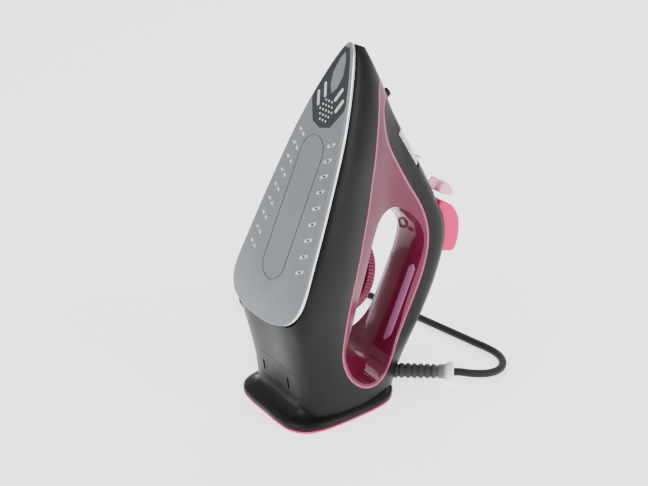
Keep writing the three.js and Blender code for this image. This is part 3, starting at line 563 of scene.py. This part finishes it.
def body_solid(depth):
    """The body with its skin moved inwards by depth; the thin nose is dropped from inset copies."""
    rings = []
    rows = len(GRID)
    for i, row in enumerate(GRID):
        half = row.copy()
        if depth:
            if row[len(row) // 4 + 1, 0] < depth + 3:
                continue
            along = GRID[min(i + 1, rows - 1)] - GRID[max(i - 1, 0)]
            flip = row * (-1, 1, 1)
            padded_row = np.vstack([flip[1], row, flip[-2]])
            normal = np.cross(padded_row[2:] - padded_row[:-2], along)
            half += depth * normal / np.linalg.norm(normal, axis=1)[:, None]
            half[:, 0] = np.maximum(half[:, 0], 0.02)
            half[0, 0] = half[-1, 0] = 0
        rings.append(np.vstack([half, half[-2:0:-1] * (-1, 1, 1)]))
    return skin(rings)


WINDOW = smooth([
    [204, 38], [195, 31.2], [177, 32.3], [159, 34.6], [134, 38], [105, 42], [75, 44.7], [43, 48],
    [11, 52.5], [-9, 57], [-19, 63.5], [-27, 73], [-31.5, 84], [-32.5, 94], [-30, 104.5],
    [-24, 114], [-15, 121.5], [-3, 127], [12, 130.3], [29, 132.5], [47, 133.5], [64, 133],
    [81, 130.3], [93, 125.8], [103, 119.3], [112, 111], [120, 101], [127, 90.5], [135, 79],
    [142.5, 68.5], [150, 58.5], [158, 50.3], [168, 44.5], [179, 41], [186, 43.5], [190, 55],
    [198, 55]
], 220)
OPENING = smooth([
    [-8, 76], [20, 74.3], [55, 71.4], [84, 68.6], [97, 69.6], [104, 76.5], [105, 88], [102, 100],
    [96.5, 111], [88.5, 118.5], [78, 121.8], [50, 122.6], [20, 122.6], [-2, 122], [-13, 118.3],
    [-19, 111], [-20, 98], [-16, 84]
], 140)
SOLE_HALF = [
    [0, 0], [14, 0.6], [26, 3], [37, 7.6], [42.5, 13.5], [45.8, 21.5], [46.4, 30], [45.6, 40],
    [43.6, 56], [41.2, 75.5], [39, 91], [35.8, 112], [33.3, 127], [30.3, 143], [27, 156.5],
    [22.2, 172.5], [15.3, 191.5], [9.3, 205], [4.6, 213], [0, SOLE_LENGTH]
]
SOLE_OUTLINE = smooth(mirrored(SOLE_HALF), 220)
HEEL_OUTLINE = smooth(mirrored([
    [0, -54], [20, -54], [34, -52], [44.5, -44.5], [49.5, -32], [50.5, -15], [49.5, 5], [47.5, 25],
    [43.5, 38], [34, 47.5], [18, 53.5], [0, 55.5]
]), 180)


def within(d):
    """Plan outline inside the soleplate's by a distance."""
    sides = [[x - d, y] for x, y in SOLE_HALF if y >= 30 and x > d + 1.5]
    half = [[0, d], [32 - d / 2, d + 1], [42.6 - d, d + 8], *sides, [0, SOLE_LENGTH - 2.7 * d]]
    return smooth(mirrored(half), 120)


BEYOND = 60                # half width that passes the body on both sides
# The hand opening is straight in the middle, flares out from there, and flares more near its edge.
OPENING_X = (10, 13, 16, 19, 22, 25, 29, 33, 38, 45, 52)
FLARE_FROM, FLARE = 10, 0.4
EDGE_FLARE_FROM, EDGE_FLARE = 27, 0.12


def window_tool(grow):
    """The tank's side outline, carried across."""
    return across(offset(WINDOW, grow), -BEYOND, BEYOND)


def opening_tool(grow):
    rings = []
    for x in (*(-x for x in reversed(OPENING_X)), *OPENING_X):
        flare = max(0, FLARE * (abs(x) - FLARE_FROM)) + max(0, EDGE_FLARE * (abs(x) - EDGE_FLARE_FROM))
        rings.append(side_ring(offset(OPENING, grow + flare), x))
    return skin(rings)


def heel_slab(levels):
    """Plate of the heel's outline; levels are (height, inset)."""
    return skin([flat_ring(offset(HEEL_OUTLINE, -inset), z) for z, inset in levels])


OUTER = body_solid(0)
INNER = body_solid(WALL)
SPINE = [
    [189, 38], [189, 46], [192, 60], [150, 140], [60, 190], [-30, 190], [-17, 150], [-17, 100],
    [20, 100], [100, 90], [150, 38]
]
# Levels (height, inset) of the housing's foot and of the plate under it.
FLANGE = [[2.9, 0.8], [3.5, 0.2], [4.8, 0], [6.5, 0.4], [7.8, 1.6], [8.6, 3.6], [9.2, 6], [10.2, 9],
          [12.5, 12], [16.5, 14.2], [22, 15.6], [30, 16]]
HEEL_LEVELS = [[0, 2.1], [0.2, 1.5], [0.6, 1], [1.2, 0.65], [2, 0.45], [BASE_THICK, 0.3]]
COVER_BOX = (-34, 34, -54, -22, 23, 46)      # rear cover, in world millimetres
COVER_SLOTS = (-17.5, 17.5)
COVER_SLOT_HALF = 1.1


def spine_tool(grow):
    """Side outline of the handle cover, carried across."""
    return across(offset(SPINE, grow), -BEYOND, BEYOND)


def cover_patch(grow):
    x0, x1, y0, y1, z0, z1 = COVER_BOX
    return world_tool(box(x0 - grow, x1 + grow, y0, y1, z0 - grow, z1 + grow))


NOZZLE_START = np.array([0, 184.2, 44.5])
NOZZLE_DIR = (0, 0.76, 0.65)
NOZZLE_BORE = 4.3


def nozzle_at(s):
    direction = np.array(NOZZLE_DIR) / math.hypot(*NOZZLE_DIR[1:])
    return NOZZLE_START + direction * s


# Filling door: a point (y, z) on the nose, the way forwards along the nose there, and the way out of it.
DOOR_C = np.array([160.5, 83.6])
DOOR_E = np.array([0.58, -0.8146])
DOOR_N = np.array([0.8146, 0.58])
NECK_R = 6.2
# Reach backwards, forwards, inwards and outwards of the tray under the door, its seat and the door.
DOOR_TRAY = (-20.5, 20.5, -13, 8)
DOOR_SEAT = (-19, 17.4, -9.3, 9)
DOOR_PANEL = (-16.6, 16.8, -9, 8)


def door_patch(back, front, deep, high):
    corners = [(back, high), (back, deep), (front, deep), (front, high)]
    return across([DOOR_C + DOOR_E * s + DOOR_N * n for s, n in corners], -40, 40)


def neck_at(n):
    """Point on the axis of the filling neck, measured outwards."""
    p = DOOR_C - 2 * DOOR_E + DOOR_N * n
    return (0, p[0], p[1])


OUTLET = world_tool(bar(relief_at(-24), relief_at(16), 7.4))     # room for the cord's sleeve


def add_housing():
    above = world_tool(box(-90, 90, -90, 120, BASE_THICK + GAP + 3, 330))
    flange = world_tool(heel_slab(FLANGE))
    housing = join(meet(OUTER, above), flange)
    heel_room = world_tool(raise_(offset(HEEL_OUTLINE, -18), -5, 26))
    sole_room = raise_(within(3), 0, 12)
    housing = cut(housing, window_tool(GAP / 2), spine_tool(GAP / 2), INNER, sole_room, heel_room)
    housing = cut(housing, cover_patch(0.1), OUTLET)
    show("housing_shell", housing, BLACK, nodes=["lower_housing"])
    rear = cut(meet(OUTER, cover_patch(-0.2)), body_solid(2.2))
    for x in COVER_SLOTS:
        rear = cut(rear, world_tool(box(x - COVER_SLOT_HALF, x + COVER_SLOT_HALF, -60, -10, 27.5, 37)))
    show("rear_cover_shell", rear, BLACK, nodes=["rear_cover"])
    base = heel_slab(HEEL_LEVELS)
    for x, y in BASE_SCREWS:
        base = cut(base, bar((x, y, -1), (x, y, 1.5), 3.6))
    show("heel_plate", base, BASE_PINK, nodes=["heel_base_plate"], in_world=True)


SHAFT_POST_R, SHAFT_BORE = 7, 4.4            # post in the tank that the dial's shaft passes through
NOSE_BLOCK = (-50, 50, 186, 210, 20, 60)     # solid end of the tank, round the nozzle
WELL_Z = DIAL_BOTTOM - 0.5                   # floor of the dial's well


def add_tank():
    well = bar((0, DIAL_Y, WELL_Z), (0, DIAL_Y, 90), DIAL_R + 0.9, 96)
    hand = meet(opening_tool(0), window_tool(-TANK_BAND))
    tank = cut(meet(OUTER, window_tool(-GAP / 2)), hand)
    hollow = meet(body_solid(TANK_WALL), window_tool(-GAP / 2 - TANK_WALL))
    hollow = cut(
        hollow,
        opening_tool(TANK_WALL),
        bar((0, DIAL_Y, WELL_Z - TANK_WALL), (0, DIAL_Y, 95), DIAL_R + 3, 64),
        bar((0, DIAL_Y, 30), (0, DIAL_Y, 90), SHAFT_POST_R),
        box(*NOSE_BLOCK),
    )
    tank = cut(join(tank, bar(neck_at(-25), neck_at(-11), NECK_R)), well, hollow)
    tank = cut(
        tank,
        bar(neck_at(-34), neck_at(5), NECK_R - 1.5),
        bar((0, DIAL_Y, 30), (0, DIAL_Y, 90), SHAFT_BORE),
        bar((0, ROD_Y, 30), (0, ROD_Y, 100), ROD_BORE),
        bar(nozzle_at(-9), nozzle_at(-3.8), 6),
        bar(nozzle_at(-5), nozzle_at(16), NOZZLE_BORE),
    )
    show("tank_shell", tank, PINK_CLEAR, nodes=["water_tank"])


# Side outline of the well that the two buttons sit in, and (x0, x1, y0, y1, z0, z1) of the lever's slot.
BUTTON_WELL = offset(smooth([[120.5, 124], [122.8, 147], [118, 166], [96, 176], [80, 172],
                             [79.6, 139], [99, 131]], 80), 0.6)
WELL_HALF = 12.4
LEVER_SLOT = (-9.6, 9.6, 126.9, 133.1, 100, 150)


def add_cover():
    tray = cut(door_patch(*DOOR_TRAY), body_solid(5))
    cover = cut(meet(OUTER, spine_tool(-GAP / 2)), window_tool(GAP / 2), cut(INNER, tray))
    cover = cut(cover, cut(door_patch(*DOOR_SEAT), body_solid(2.3)))
    cover = cut(
        cover,
        bar(neck_at(-12), neck_at(6), NECK_R - 1.2),
        across(BUTTON_WELL, -WELL_HALF, WELL_HALF),
        box(*LEVER_SLOT),
        bar(nozzle_at(-8), nozzle_at(16), NOZZLE_BORE),
        bar((0, LAMP_Y, 140), (0, LAMP_Y, 170), LAMP_BORE),
        OUTLET,
    )
    show("handle_shell", cover, BLACK, nodes=["handle_cover"])
    hinge = DOOR_C - 16.9 * DOOR_E - 1.2 * DOOR_N
    door = cut(meet(OUTER, door_patch(*DOOR_PANEL)), body_solid(1.7))
    door = join(door, bar((-8, *hinge), (8, *hinge), 1, 24))
    show("door_shell", door, DOOR, body="fill_door", nodes=["fill_door"])


BAND_STOP = 6              # a band stops where the body is narrower than this each side
RIM_ROWS = [(0.2, -0.9), (0.2, -0.1), (0.5, 0.2), (1.1, 0.3), (1.8, 0.2), (2.2, 0.0), (2.2, -0.9)]


def side_tree():
    """The body's outer skin, for finding points on it."""
    faces = [list(f.vertices) for f in OUTER.polygons]
    return BVHTree.FromPolygons([Vector(p) for p in positions(OUTER)], faces)


def ribbon(outline, rows, side, tree):
    """Raised band on the side of the body: rows are (inset from the outline, height above the skin).

    Where the outline runs off the side, the band ends and is closed there.
    """
    lines = []
    for inset, height in rows:
        line = []
        for y, z in offset(outline, -inset):
            hit = tree.ray_cast(Vector((1.5 * BEYOND * side, y, z)), Vector((-side, 0, 0)))
            line.append(None if hit[0] is None else np.array(hit[0]) + np.array([side * height, 0, 0]))
        lines.append(line)
    n = len(outline)
    good = [all(line[i] is not None and abs(line[i][0]) > BAND_STOP for line in lines) for i in range(n)]
    start = next((i for i in range(n) if not good[i]), 0)
    order = [(start + i) % n for i in range(n)]
    kept = [i for i in order if good[i]]
    rings = [np.array([line[i] for line in lines]) for i in kept]
    if all(good):
        count, k = len(rings), len(rows)
        faces = []
        for i in range(count):
            for j in range(k):
                a, b = i * k + j, i * k + (j + 1) % k
                c, d = ((i + 1) % count) * k + (j + 1) % k, ((i + 1) % count) * k + j
                faces.append((a, b, c, d))
        return mesh_of(np.vstack(rings), faces)
    return skin(rings)


# Level strip: it lies on the flared wall of the hand opening, under the grip.
STRIP_Y = (-8, 66)
STRIP_X = (11.2, 16.6)
STRIP_HIGH = 0.35
GRIP_Z = 122.6


def level_strip(side):
    """Thin strip with rounded ends."""
    rings = []
    y0, y1 = STRIP_Y
    for t in np.linspace(0, 1, 25):
        round_end = math.sqrt(max(0.02, 1 - max(0.0, abs(2 * t - 1) - 0.9) ** 2 / 0.01))
        middle, half = sum(STRIP_X) / 2, (STRIP_X[1] - STRIP_X[0]) / 2 * round_end
        edge = [(middle - half, -0.4), (middle - half, 0.1), (middle - 0.8 * half, STRIP_HIGH),
                (middle + 0.8 * half, STRIP_HIGH), (middle + half, 0.1), (middle + half, -0.4)]
        rings.append(np.array([[side * x, y0 + (y1 - y0) * t, GRIP_Z + FLARE * (x - FLARE_FROM) - high]
                               for x, high in edge]))
    return skin(rings)


def add_bands():
    tree = side_tree()
    for side, word in ((1, "right"), (-1, "left")):
        show("tank_rim_" + word, ribbon(WINDOW, RIM_ROWS, side, tree), PINK_RIM, sharp=60)
        show("level_strip_" + word, level_strip(side), LILAC, sharp=60)


# ---------- soleplate ----------
STEAM_Y = [47.8, 59.7, 72, 84, 96, 108, 119.5, 131, 142.3]
STEAM_SLANT = 0.5          # radians
# (long, wide) of each steam opening's recess, of the light sheet in it that paints the recess's highlight,
# and of the hole through both.
STEAM_RECESS, STEAM_HIGHLIGHT_SHEET, STEAM_HOLE = (10, 2.7), (9.7, 2.4), (3, 1.5)
RING_ENDS = (45, 131)      # groove round the middle of the face
RING_OUT, RING_IN = 14.3, 13.4
PANEL_INSET = 1.5


def steam_x(y):
    """Distance of a steam opening from the middle line: the rows draw in towards the tip."""
    along = y - STEAM_Y[0]
    return 32.6 - 0.098 * along - 0.00045 * along ** 2


def slot_outline(x, y, angle, long, wide, count=28):
    """Slot with round ends, turned by an angle."""
    cos, sin = math.cos(angle), math.sin(angle)
    pts = []
    for i in range(count):
        a = 2 * math.pi * (i + 0.5) / count
        px = math.copysign((long - wide) / 2, math.cos(a)) + wide / 2 * math.cos(a)
        py = wide / 2 * math.sin(a)
        pts.append([x + px * cos - py * sin, y + px * sin + py * cos])
    return pts


def stadium(half, y0, y1, count=24):
    """Long outline with round ends, whose centres are at y0 and y1."""
    lower = [-math.pi + math.pi * i / count for i in range(count + 1)]
    upper = [math.pi * i / count for i in range(count + 1)]
    return [[half * math.cos(a), y0 + half * math.sin(a)] for a in lower] + \
           [[half * math.cos(a), y1 + half * math.sin(a)] for a in upper]


def tip_outline(inset):
    """Dark panel: it follows the soleplate's edge from its pointed rear end to the tip."""
    edge = [[x - inset, y] for x, y in SOLE_HALF if y > 170 and x > inset]
    half = [[0, 150.5], [11.2, 153.5], [22.2 - inset, 168.5], *edge, [0, SOLE_LENGTH - 3.2 * inset]]
    return mirrored(half)


# Tip panel openings: (x, y, lean) of each slot on one side, and (y, how many) of each row of dimples,
# then (long, wide) of the opening and of the insert in it.
TIP_SLOTS = ((13.4, 170.5, 1.12), (8.6, 178, 1.12))
TIP_SLOT_CUT, TIP_SLOT_FILL = (12.5, 3.2), (12.1, 2.8)
TIP_DIMPLES = ((156.5, 3), (160.2, 4), (163.9, 5), (167.6, 4), (171.3, 3))
TIP_DIMPLE_CUT, TIP_DIMPLE_FILL = (2.2, 2.1), (1.8, 1.7)
TIP_DIMPLE_PITCH = 3.7
KITE = [[0, 177], [4.4, 182.5], [6.4, 192], [3.6, 203.5], [0, 209], [-3.6, 203.5], [-6.4, 192], [-4.4, 182.5]]


def dimple(x, y, r, depth):
    """Shallow round-bottomed cutter standing below the face."""
    profile = [(r, -1), (r, 0), (r * 0.85, depth * 0.5), (r * 0.5, depth * 0.86), (0.05, depth)]
    return lathe(profile, (x, y, 0), (0, 0, 1), 20)


def add_sole():
    rounded = [(0, 1.0), (0.15, 0.55), (0.45, 0.22), (0.9, 0.05), (FACE_THICK, 0)]
    face = skin([flat_ring(offset(SOLE_OUTLINE, -0.3 - inset), z) for z, inset in rounded])
    highlight_sheets = []
    for side in (-1, 1):
        for y in STEAM_Y:
            x, slant = side * steam_x(y), side * STEAM_SLANT
            recess = raise_(slot_outline(x, y, slant, *STEAM_RECESS), -1, 0.5)
            hole = raise_(slot_outline(x, y, slant, *STEAM_HOLE), -1, 3)
            face = cut(face, recess, hole, dimple(x - side * 7.4, y + 2.4, 1.2, 0.6))
            # A light silver sheet in each steam recess: a painted highlight.
            highlight_sheets.append(cut(raise_(slot_outline(x, y, slant, *STEAM_HIGHLIGHT_SHEET), 0.15, 0.5), hole))
    ring = cut(raise_(stadium(RING_OUT, *RING_ENDS), -1, 0.7),
               raise_(stadium(RING_IN, *RING_ENDS), -2, 2))
    face = cut(face, ring)
    panel_outline = tip_outline(PANEL_INSET)
    panel_seat = cut(raise_(offset(panel_outline, 0.12), -1, 0.5), raise_(offset(KITE, -0.12), -2, 2))
    face = cut(face, panel_seat)
    show("sole_plate", face, SOLE, nodes=["sole_face"])
    # Painted highlights of the steam recesses.
    for i, highlight_sheet in enumerate(highlight_sheets):
        show("steam_highlight_sheet_%02d" % (i + 1), highlight_sheet, SILVER_AND_HIGHLIGHT)
    panel = cut(raise_(panel_outline, 0.03, 0.42), raise_(KITE, -1, 2))
    inserts = []
    for side in (-1, 1):
        for x, y, lean in TIP_SLOTS:
            angle = lean if side > 0 else math.pi - lean
            panel = cut(panel, raise_(slot_outline(side * x, y, angle, *TIP_SLOT_CUT), -1, 1))
            inserts.append(raise_(slot_outline(side * x, y, angle, *TIP_SLOT_FILL), 0.12, 0.42))
    for y, count in TIP_DIMPLES:
        for i in range(count):
            x = (i - (count - 1) / 2) * TIP_DIMPLE_PITCH
            panel = cut(panel, raise_(slot_outline(x, y, 0, *TIP_DIMPLE_CUT, 16), -1, 1))
            inserts.append(raise_(slot_outline(x, y, 0, *TIP_DIMPLE_FILL, 16), 0.1, 0.42))
    show("tip_panel", panel, TIP_DARK, nodes=["sole_tip_panel"])
    for i, insert in enumerate(inserts):
        show("tip_insert_%02d" % (i + 1), insert, SILVER_AND_HIGHLIGHT)
    rim = [(FACE_THICK + GAP, 0.35), (2.2, 0.1), (3.2, 0), (4.0, 0.15), (RIM_TOP, 0.7)]
    casting = skin([flat_ring(offset(SOLE_OUTLINE, -0.15 - inset), z) for z, inset in rim])
    casting = join(casting, raise_(within(7.5), RIM_TOP - 0.5, CASTING_TOP))
    show("sole_rim", casting, POLISHED, nodes=["sole_casting"])


# ---------- controls ----------
DIAL_TEETH = 72
DIAL_LEVELS = ((DIAL_BOTTOM, 0.8), (DIAL_BOTTOM + 0.6, 0), (73.2, 0), (74.2, 0.4), (75.2, 1.4),
               (DIAL_TOP, 2.8))                      # (height, how much smaller the radius is)
PUMP = np.array([0, 108, 147.0])                     # between the two pumps, at the buttons' stems
STEM_BORE = 4.4
# Side outlines of a button, and of the lever's stem and its wider paddle.
BUTTON_SIDE = smooth([[119.5, 131.5], [119.8, 143.5], [116.9, 150], [111.6, 156.4], [101.6, 162],
                      [90, 165], [83.2, 163.8], [81.6, 158], [81, 144.5], [99, 136.5]], 90)
STEM_SIDE = smooth([[127.8, 114.5], [132.2, 114.5], [132.4, 121], [134.8, 126.5], [135.8, 131.5],
                    [134.6, 137.5], [130.6, 143.5], [127, 144], [126.2, 138], [127.4, 129]], 70)
PADDLE_SIDE = smooth([[127, 129.5], [134.5, 130], [135.8, 132.5], [134.6, 137.5], [130.6, 143.5],
                      [127, 144], [126.2, 138]], 70)
STEM_HALF, PADDLE_HALF = 2.4, 8.5


def knurled():
    """Toothed edge of the dial, about its own middle."""
    edge = []
    count = DIAL_TEETH * 4
    for i in range(count):
        a = 2 * math.pi * i / count
        r = DIAL_R - 0.45 + 0.4 * math.cos(a * DIAL_TEETH)
        edge.append([r * math.cos(a), r * math.sin(a)])
    return np.array(edge)


def add_controls():
    edge = knurled()
    rings = [flat_ring(edge * (1 - shrink / DIAL_R) + [0, DIAL_Y], z) for z, shrink in DIAL_LEVELS]
    dial = cut(skin(rings), bar((0, DIAL_Y, DIAL_TOP - 3.4), (0, DIAL_Y, DIAL_TOP + 1), DIAL_R - 6, 96),
               bar((0, DIAL_Y, 60), (0, DIAL_Y, 71), 3.6))
    show("dial_wheel", dial, DIAL, body="dial", nodes=["temperature_dial"])
    cap = lathe([(12, 0), (12, 1.2), (11.4, 1.7), (10, 1.9)], (0, DIAL_Y, DIAL_TOP - 3.1), (0, 0, 1))
    show("dial_centre", cap, DIAL, body="dial", nodes=["dial_cap"])
    press = np.array([0, SIN, COS])                  # world up, along which a button is pressed
    for name, x0, x1 in (("spray", 0.3, 11.7), ("steam", -11.7, -0.3)):
        start = PUMP + [(x0 + x1) / 2, 0, 0]
        stem = bar(start - 30 * press, start + 4 * press, STEM_BORE)
        button = cut(pillow(BUTTON_SIDE, x0, x1, 1.6), stem)
        show(name + "_key", button, BUTTON, body=name + "_control", nodes=[name + "_button"])
    lever = join(
        pillow(STEM_SIDE, -STEM_HALF, STEM_HALF, 0.5),
        pillow(PADDLE_SIDE, -PADDLE_HALF, PADDLE_HALF, 1.1),
        box(-STEM_HALF, STEM_HALF, 127.8, 132.2, 112.4, 118),
    )
    show("lever_paddle", lever, LEVER, body="steam_lever", nodes=["steam_lever"])
    tip = lathe([(5.4, -7), (5.4, -4.6), (3.9, -4.5), (3.9, 7.6), (3.6, 8.6), (3.0, 9), (2.3, 9), (2.2, 6.5)],
                nozzle_at(0), NOZZLE_DIR)
    show("nozzle_tip", tip, BLACK, nodes=["spray_nozzle"])


# Sleeve of the cord, (radius, distance): its root in the body, then a groove and a rib eight times, each
# as (radius lost, distance), then the bell.
SLEEVE_ROOT = [(6.2, -12), (6.4, -11.6), (6.4, 2)]
GROOVES, GROOVE_PITCH = 8, 5.2
GROOVE = ((0, 0), (1.0, 0.35), (1.15, 0.8), (1.0, 1.7), (0, 2.1), (-0.05, 3.5))
SLEEVE_BELL = [(5.9, 47.5), (6.3, 49), (7.4, 51), (8.1, 53.3), (8.2, 54.4), (7.9, 55.4),
               (7.0, RELIEF_LENGTH)]


def add_relief():
    profile = list(SLEEVE_ROOT)
    for i in range(GROOVES):
        s, r = 5 + i * GROOVE_PITCH, 6.3 - i * 0.06
        profile += [(r - lost, s + along) for lost, along in GROOVE]
    mesh = lathe(profile + SLEEVE_BELL, RELIEF_START, RELIEF_DIR)
    show("relief_sleeve", mesh, relief_material(), body="cord_outlet",
         nodes=["strain_relief"], in_world=True)


def relief_material():
    """Black rubber that turns pale grey towards the bell."""
    material = finish_of("relief_rubber", (0.02, 0.02, 0.022), 0.55, bump=0.15)
    tree = material.node_tree
    shader = tree.nodes["Principled BSDF"]
    split = tree.nodes.new("ShaderNodeVectorMath")
    split.operation = "DOT_PRODUCT"
    split.inputs[1].default_value = RELIEF_DIR
    ramp = tree.nodes.new("ShaderNodeValToRGB")
    reach = tree.nodes.new("ShaderNodeMapRange")
    near = float(RELIEF_START @ RELIEF_DIR) * MM
    reach.inputs["From Min"].default_value = near + 0.015
    reach.inputs["From Max"].default_value = near + RELIEF_LENGTH * MM
    stops = ramp.color_ramp.elements
    stops[0].color = (0.012, 0.012, 0.013, 1)
    stops[1].position = 0.9
    stops[1].color = (0.9, 0.9, 0.91, 1)
    for position, grey in ((0.58, 0.014), (0.8, 0.11)):
        stop = stops.new(position)
        stop.color = (grey, grey, grey, 1)
    coords = next(n for n in tree.nodes if n.type == "TEX_COORD").outputs["Object"]
    tree.links.new(coords, split.inputs[0])
    tree.links.new(split.outputs["Value"], reach.inputs["Value"])
    tree.links.new(reach.outputs["Result"], ramp.inputs["Fac"])
    tree.links.new(ramp.outputs["Color"], shader.inputs["Base Color"])
    return material


add_housing()
add_tank()
add_cover()
add_bands()
add_sole()
add_controls()
add_relief()

# ---------- CAD nodes that stay ----------
KEPT = {
    STEEL: ["heating_element", "steam_chamber_cover", "heat_shield", "dial_shaft", "valve_rod",
            "nozzle_insert", "base_screw_1", "base_screw_2", "base_screw_3", "plug_pin_a", "plug_pin_b"],
    BRASS: ["element_pin_a", "element_pin_b", "thermostat_bimetal", "drip_valve_body", "terminal_screw_1",
            "terminal_screw_2", "terminal_screw_3"],
    CERAMIC: ["thermostat_body", "thermal_fuse", "terminal_block"],
    WHITE: ["spray_plunger", "steam_plunger", "spray_pump", "steam_pump"],
    LAMP: ["pilot_lamp"],
    BLACK: ["cord_clamp", "swivel_collar"],
}
for material, names in KEPT.items():
    for name in names:
        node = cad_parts[name]
        node.data.materials.clear()
        node.data.materials.append(material)
        bevel = node.modifiers.new("edge", "BEVEL")
        bevel.width = 0.2 * MM
        bevel.segments = 2
        bevel.angle_limit = math.radians(40)


# ---------- floor and light ----------
FLOOR_HALF, FLOOR_Z = 6, -0.0003           # metres


def add_floor():
    corners = [(x * FLOOR_HALF, y * FLOOR_HALF, FLOOR_Z) for x, y in ((-1, -1), (1, -1), (1, 1), (-1, 1))]
    mesh = bpy.data.meshes.new("floor")
    mesh.from_pydata(corners, [], [(0, 1, 2, 3)])
    mesh.materials.append(finish_of("floor", (0.93, 0.93, 0.93), 0.9, grain=60, bump=0.0, tint=0.005,
                                    Specular_IOR_Level=0.0, Emission_Color=(1, 1, 1, 1),
                                    Emission_Strength=1.5))
    floor = bpy.data.objects.new("floor", mesh)
    bpy.context.scene.collection.objects.link(floor)


def add_softbox(name, place, size, watts, target=(0, 0, 0.14)):
    """Rectangular lamp that faces the target."""
    data = bpy.data.lights.new(name, "AREA")
    data.shape = "RECTANGLE"
    data.size, data.size_y = size
    data.energy = watts
    lamp = bpy.data.objects.new(name, data)
    lamp.location = place
    lamp.rotation_euler = (Vector(target) - Vector(place)).to_track_quat("-Z", "Y").to_euler()
    bpy.context.scene.collection.objects.link(lamp)


add_floor()
add_softbox("key", (0.1, -1.5, 1.1), (1.4, 1.2), 22)
add_softbox("side", (1.5, 0.7, 0.8), (0.5, 1.4), 16)
add_softbox("back", (-0.9, 1.2, 1.2), (1.2, 0.8), 12)
world = bpy.data.worlds.new("studio")
world.use_nodes = True
world.node_tree.nodes["Background"].inputs["Color"].default_value = (1, 1, 1, 1)
world.node_tree.nodes["Background"].inputs["Strength"].default_value = 0.9
bpy.context.scene.world = world
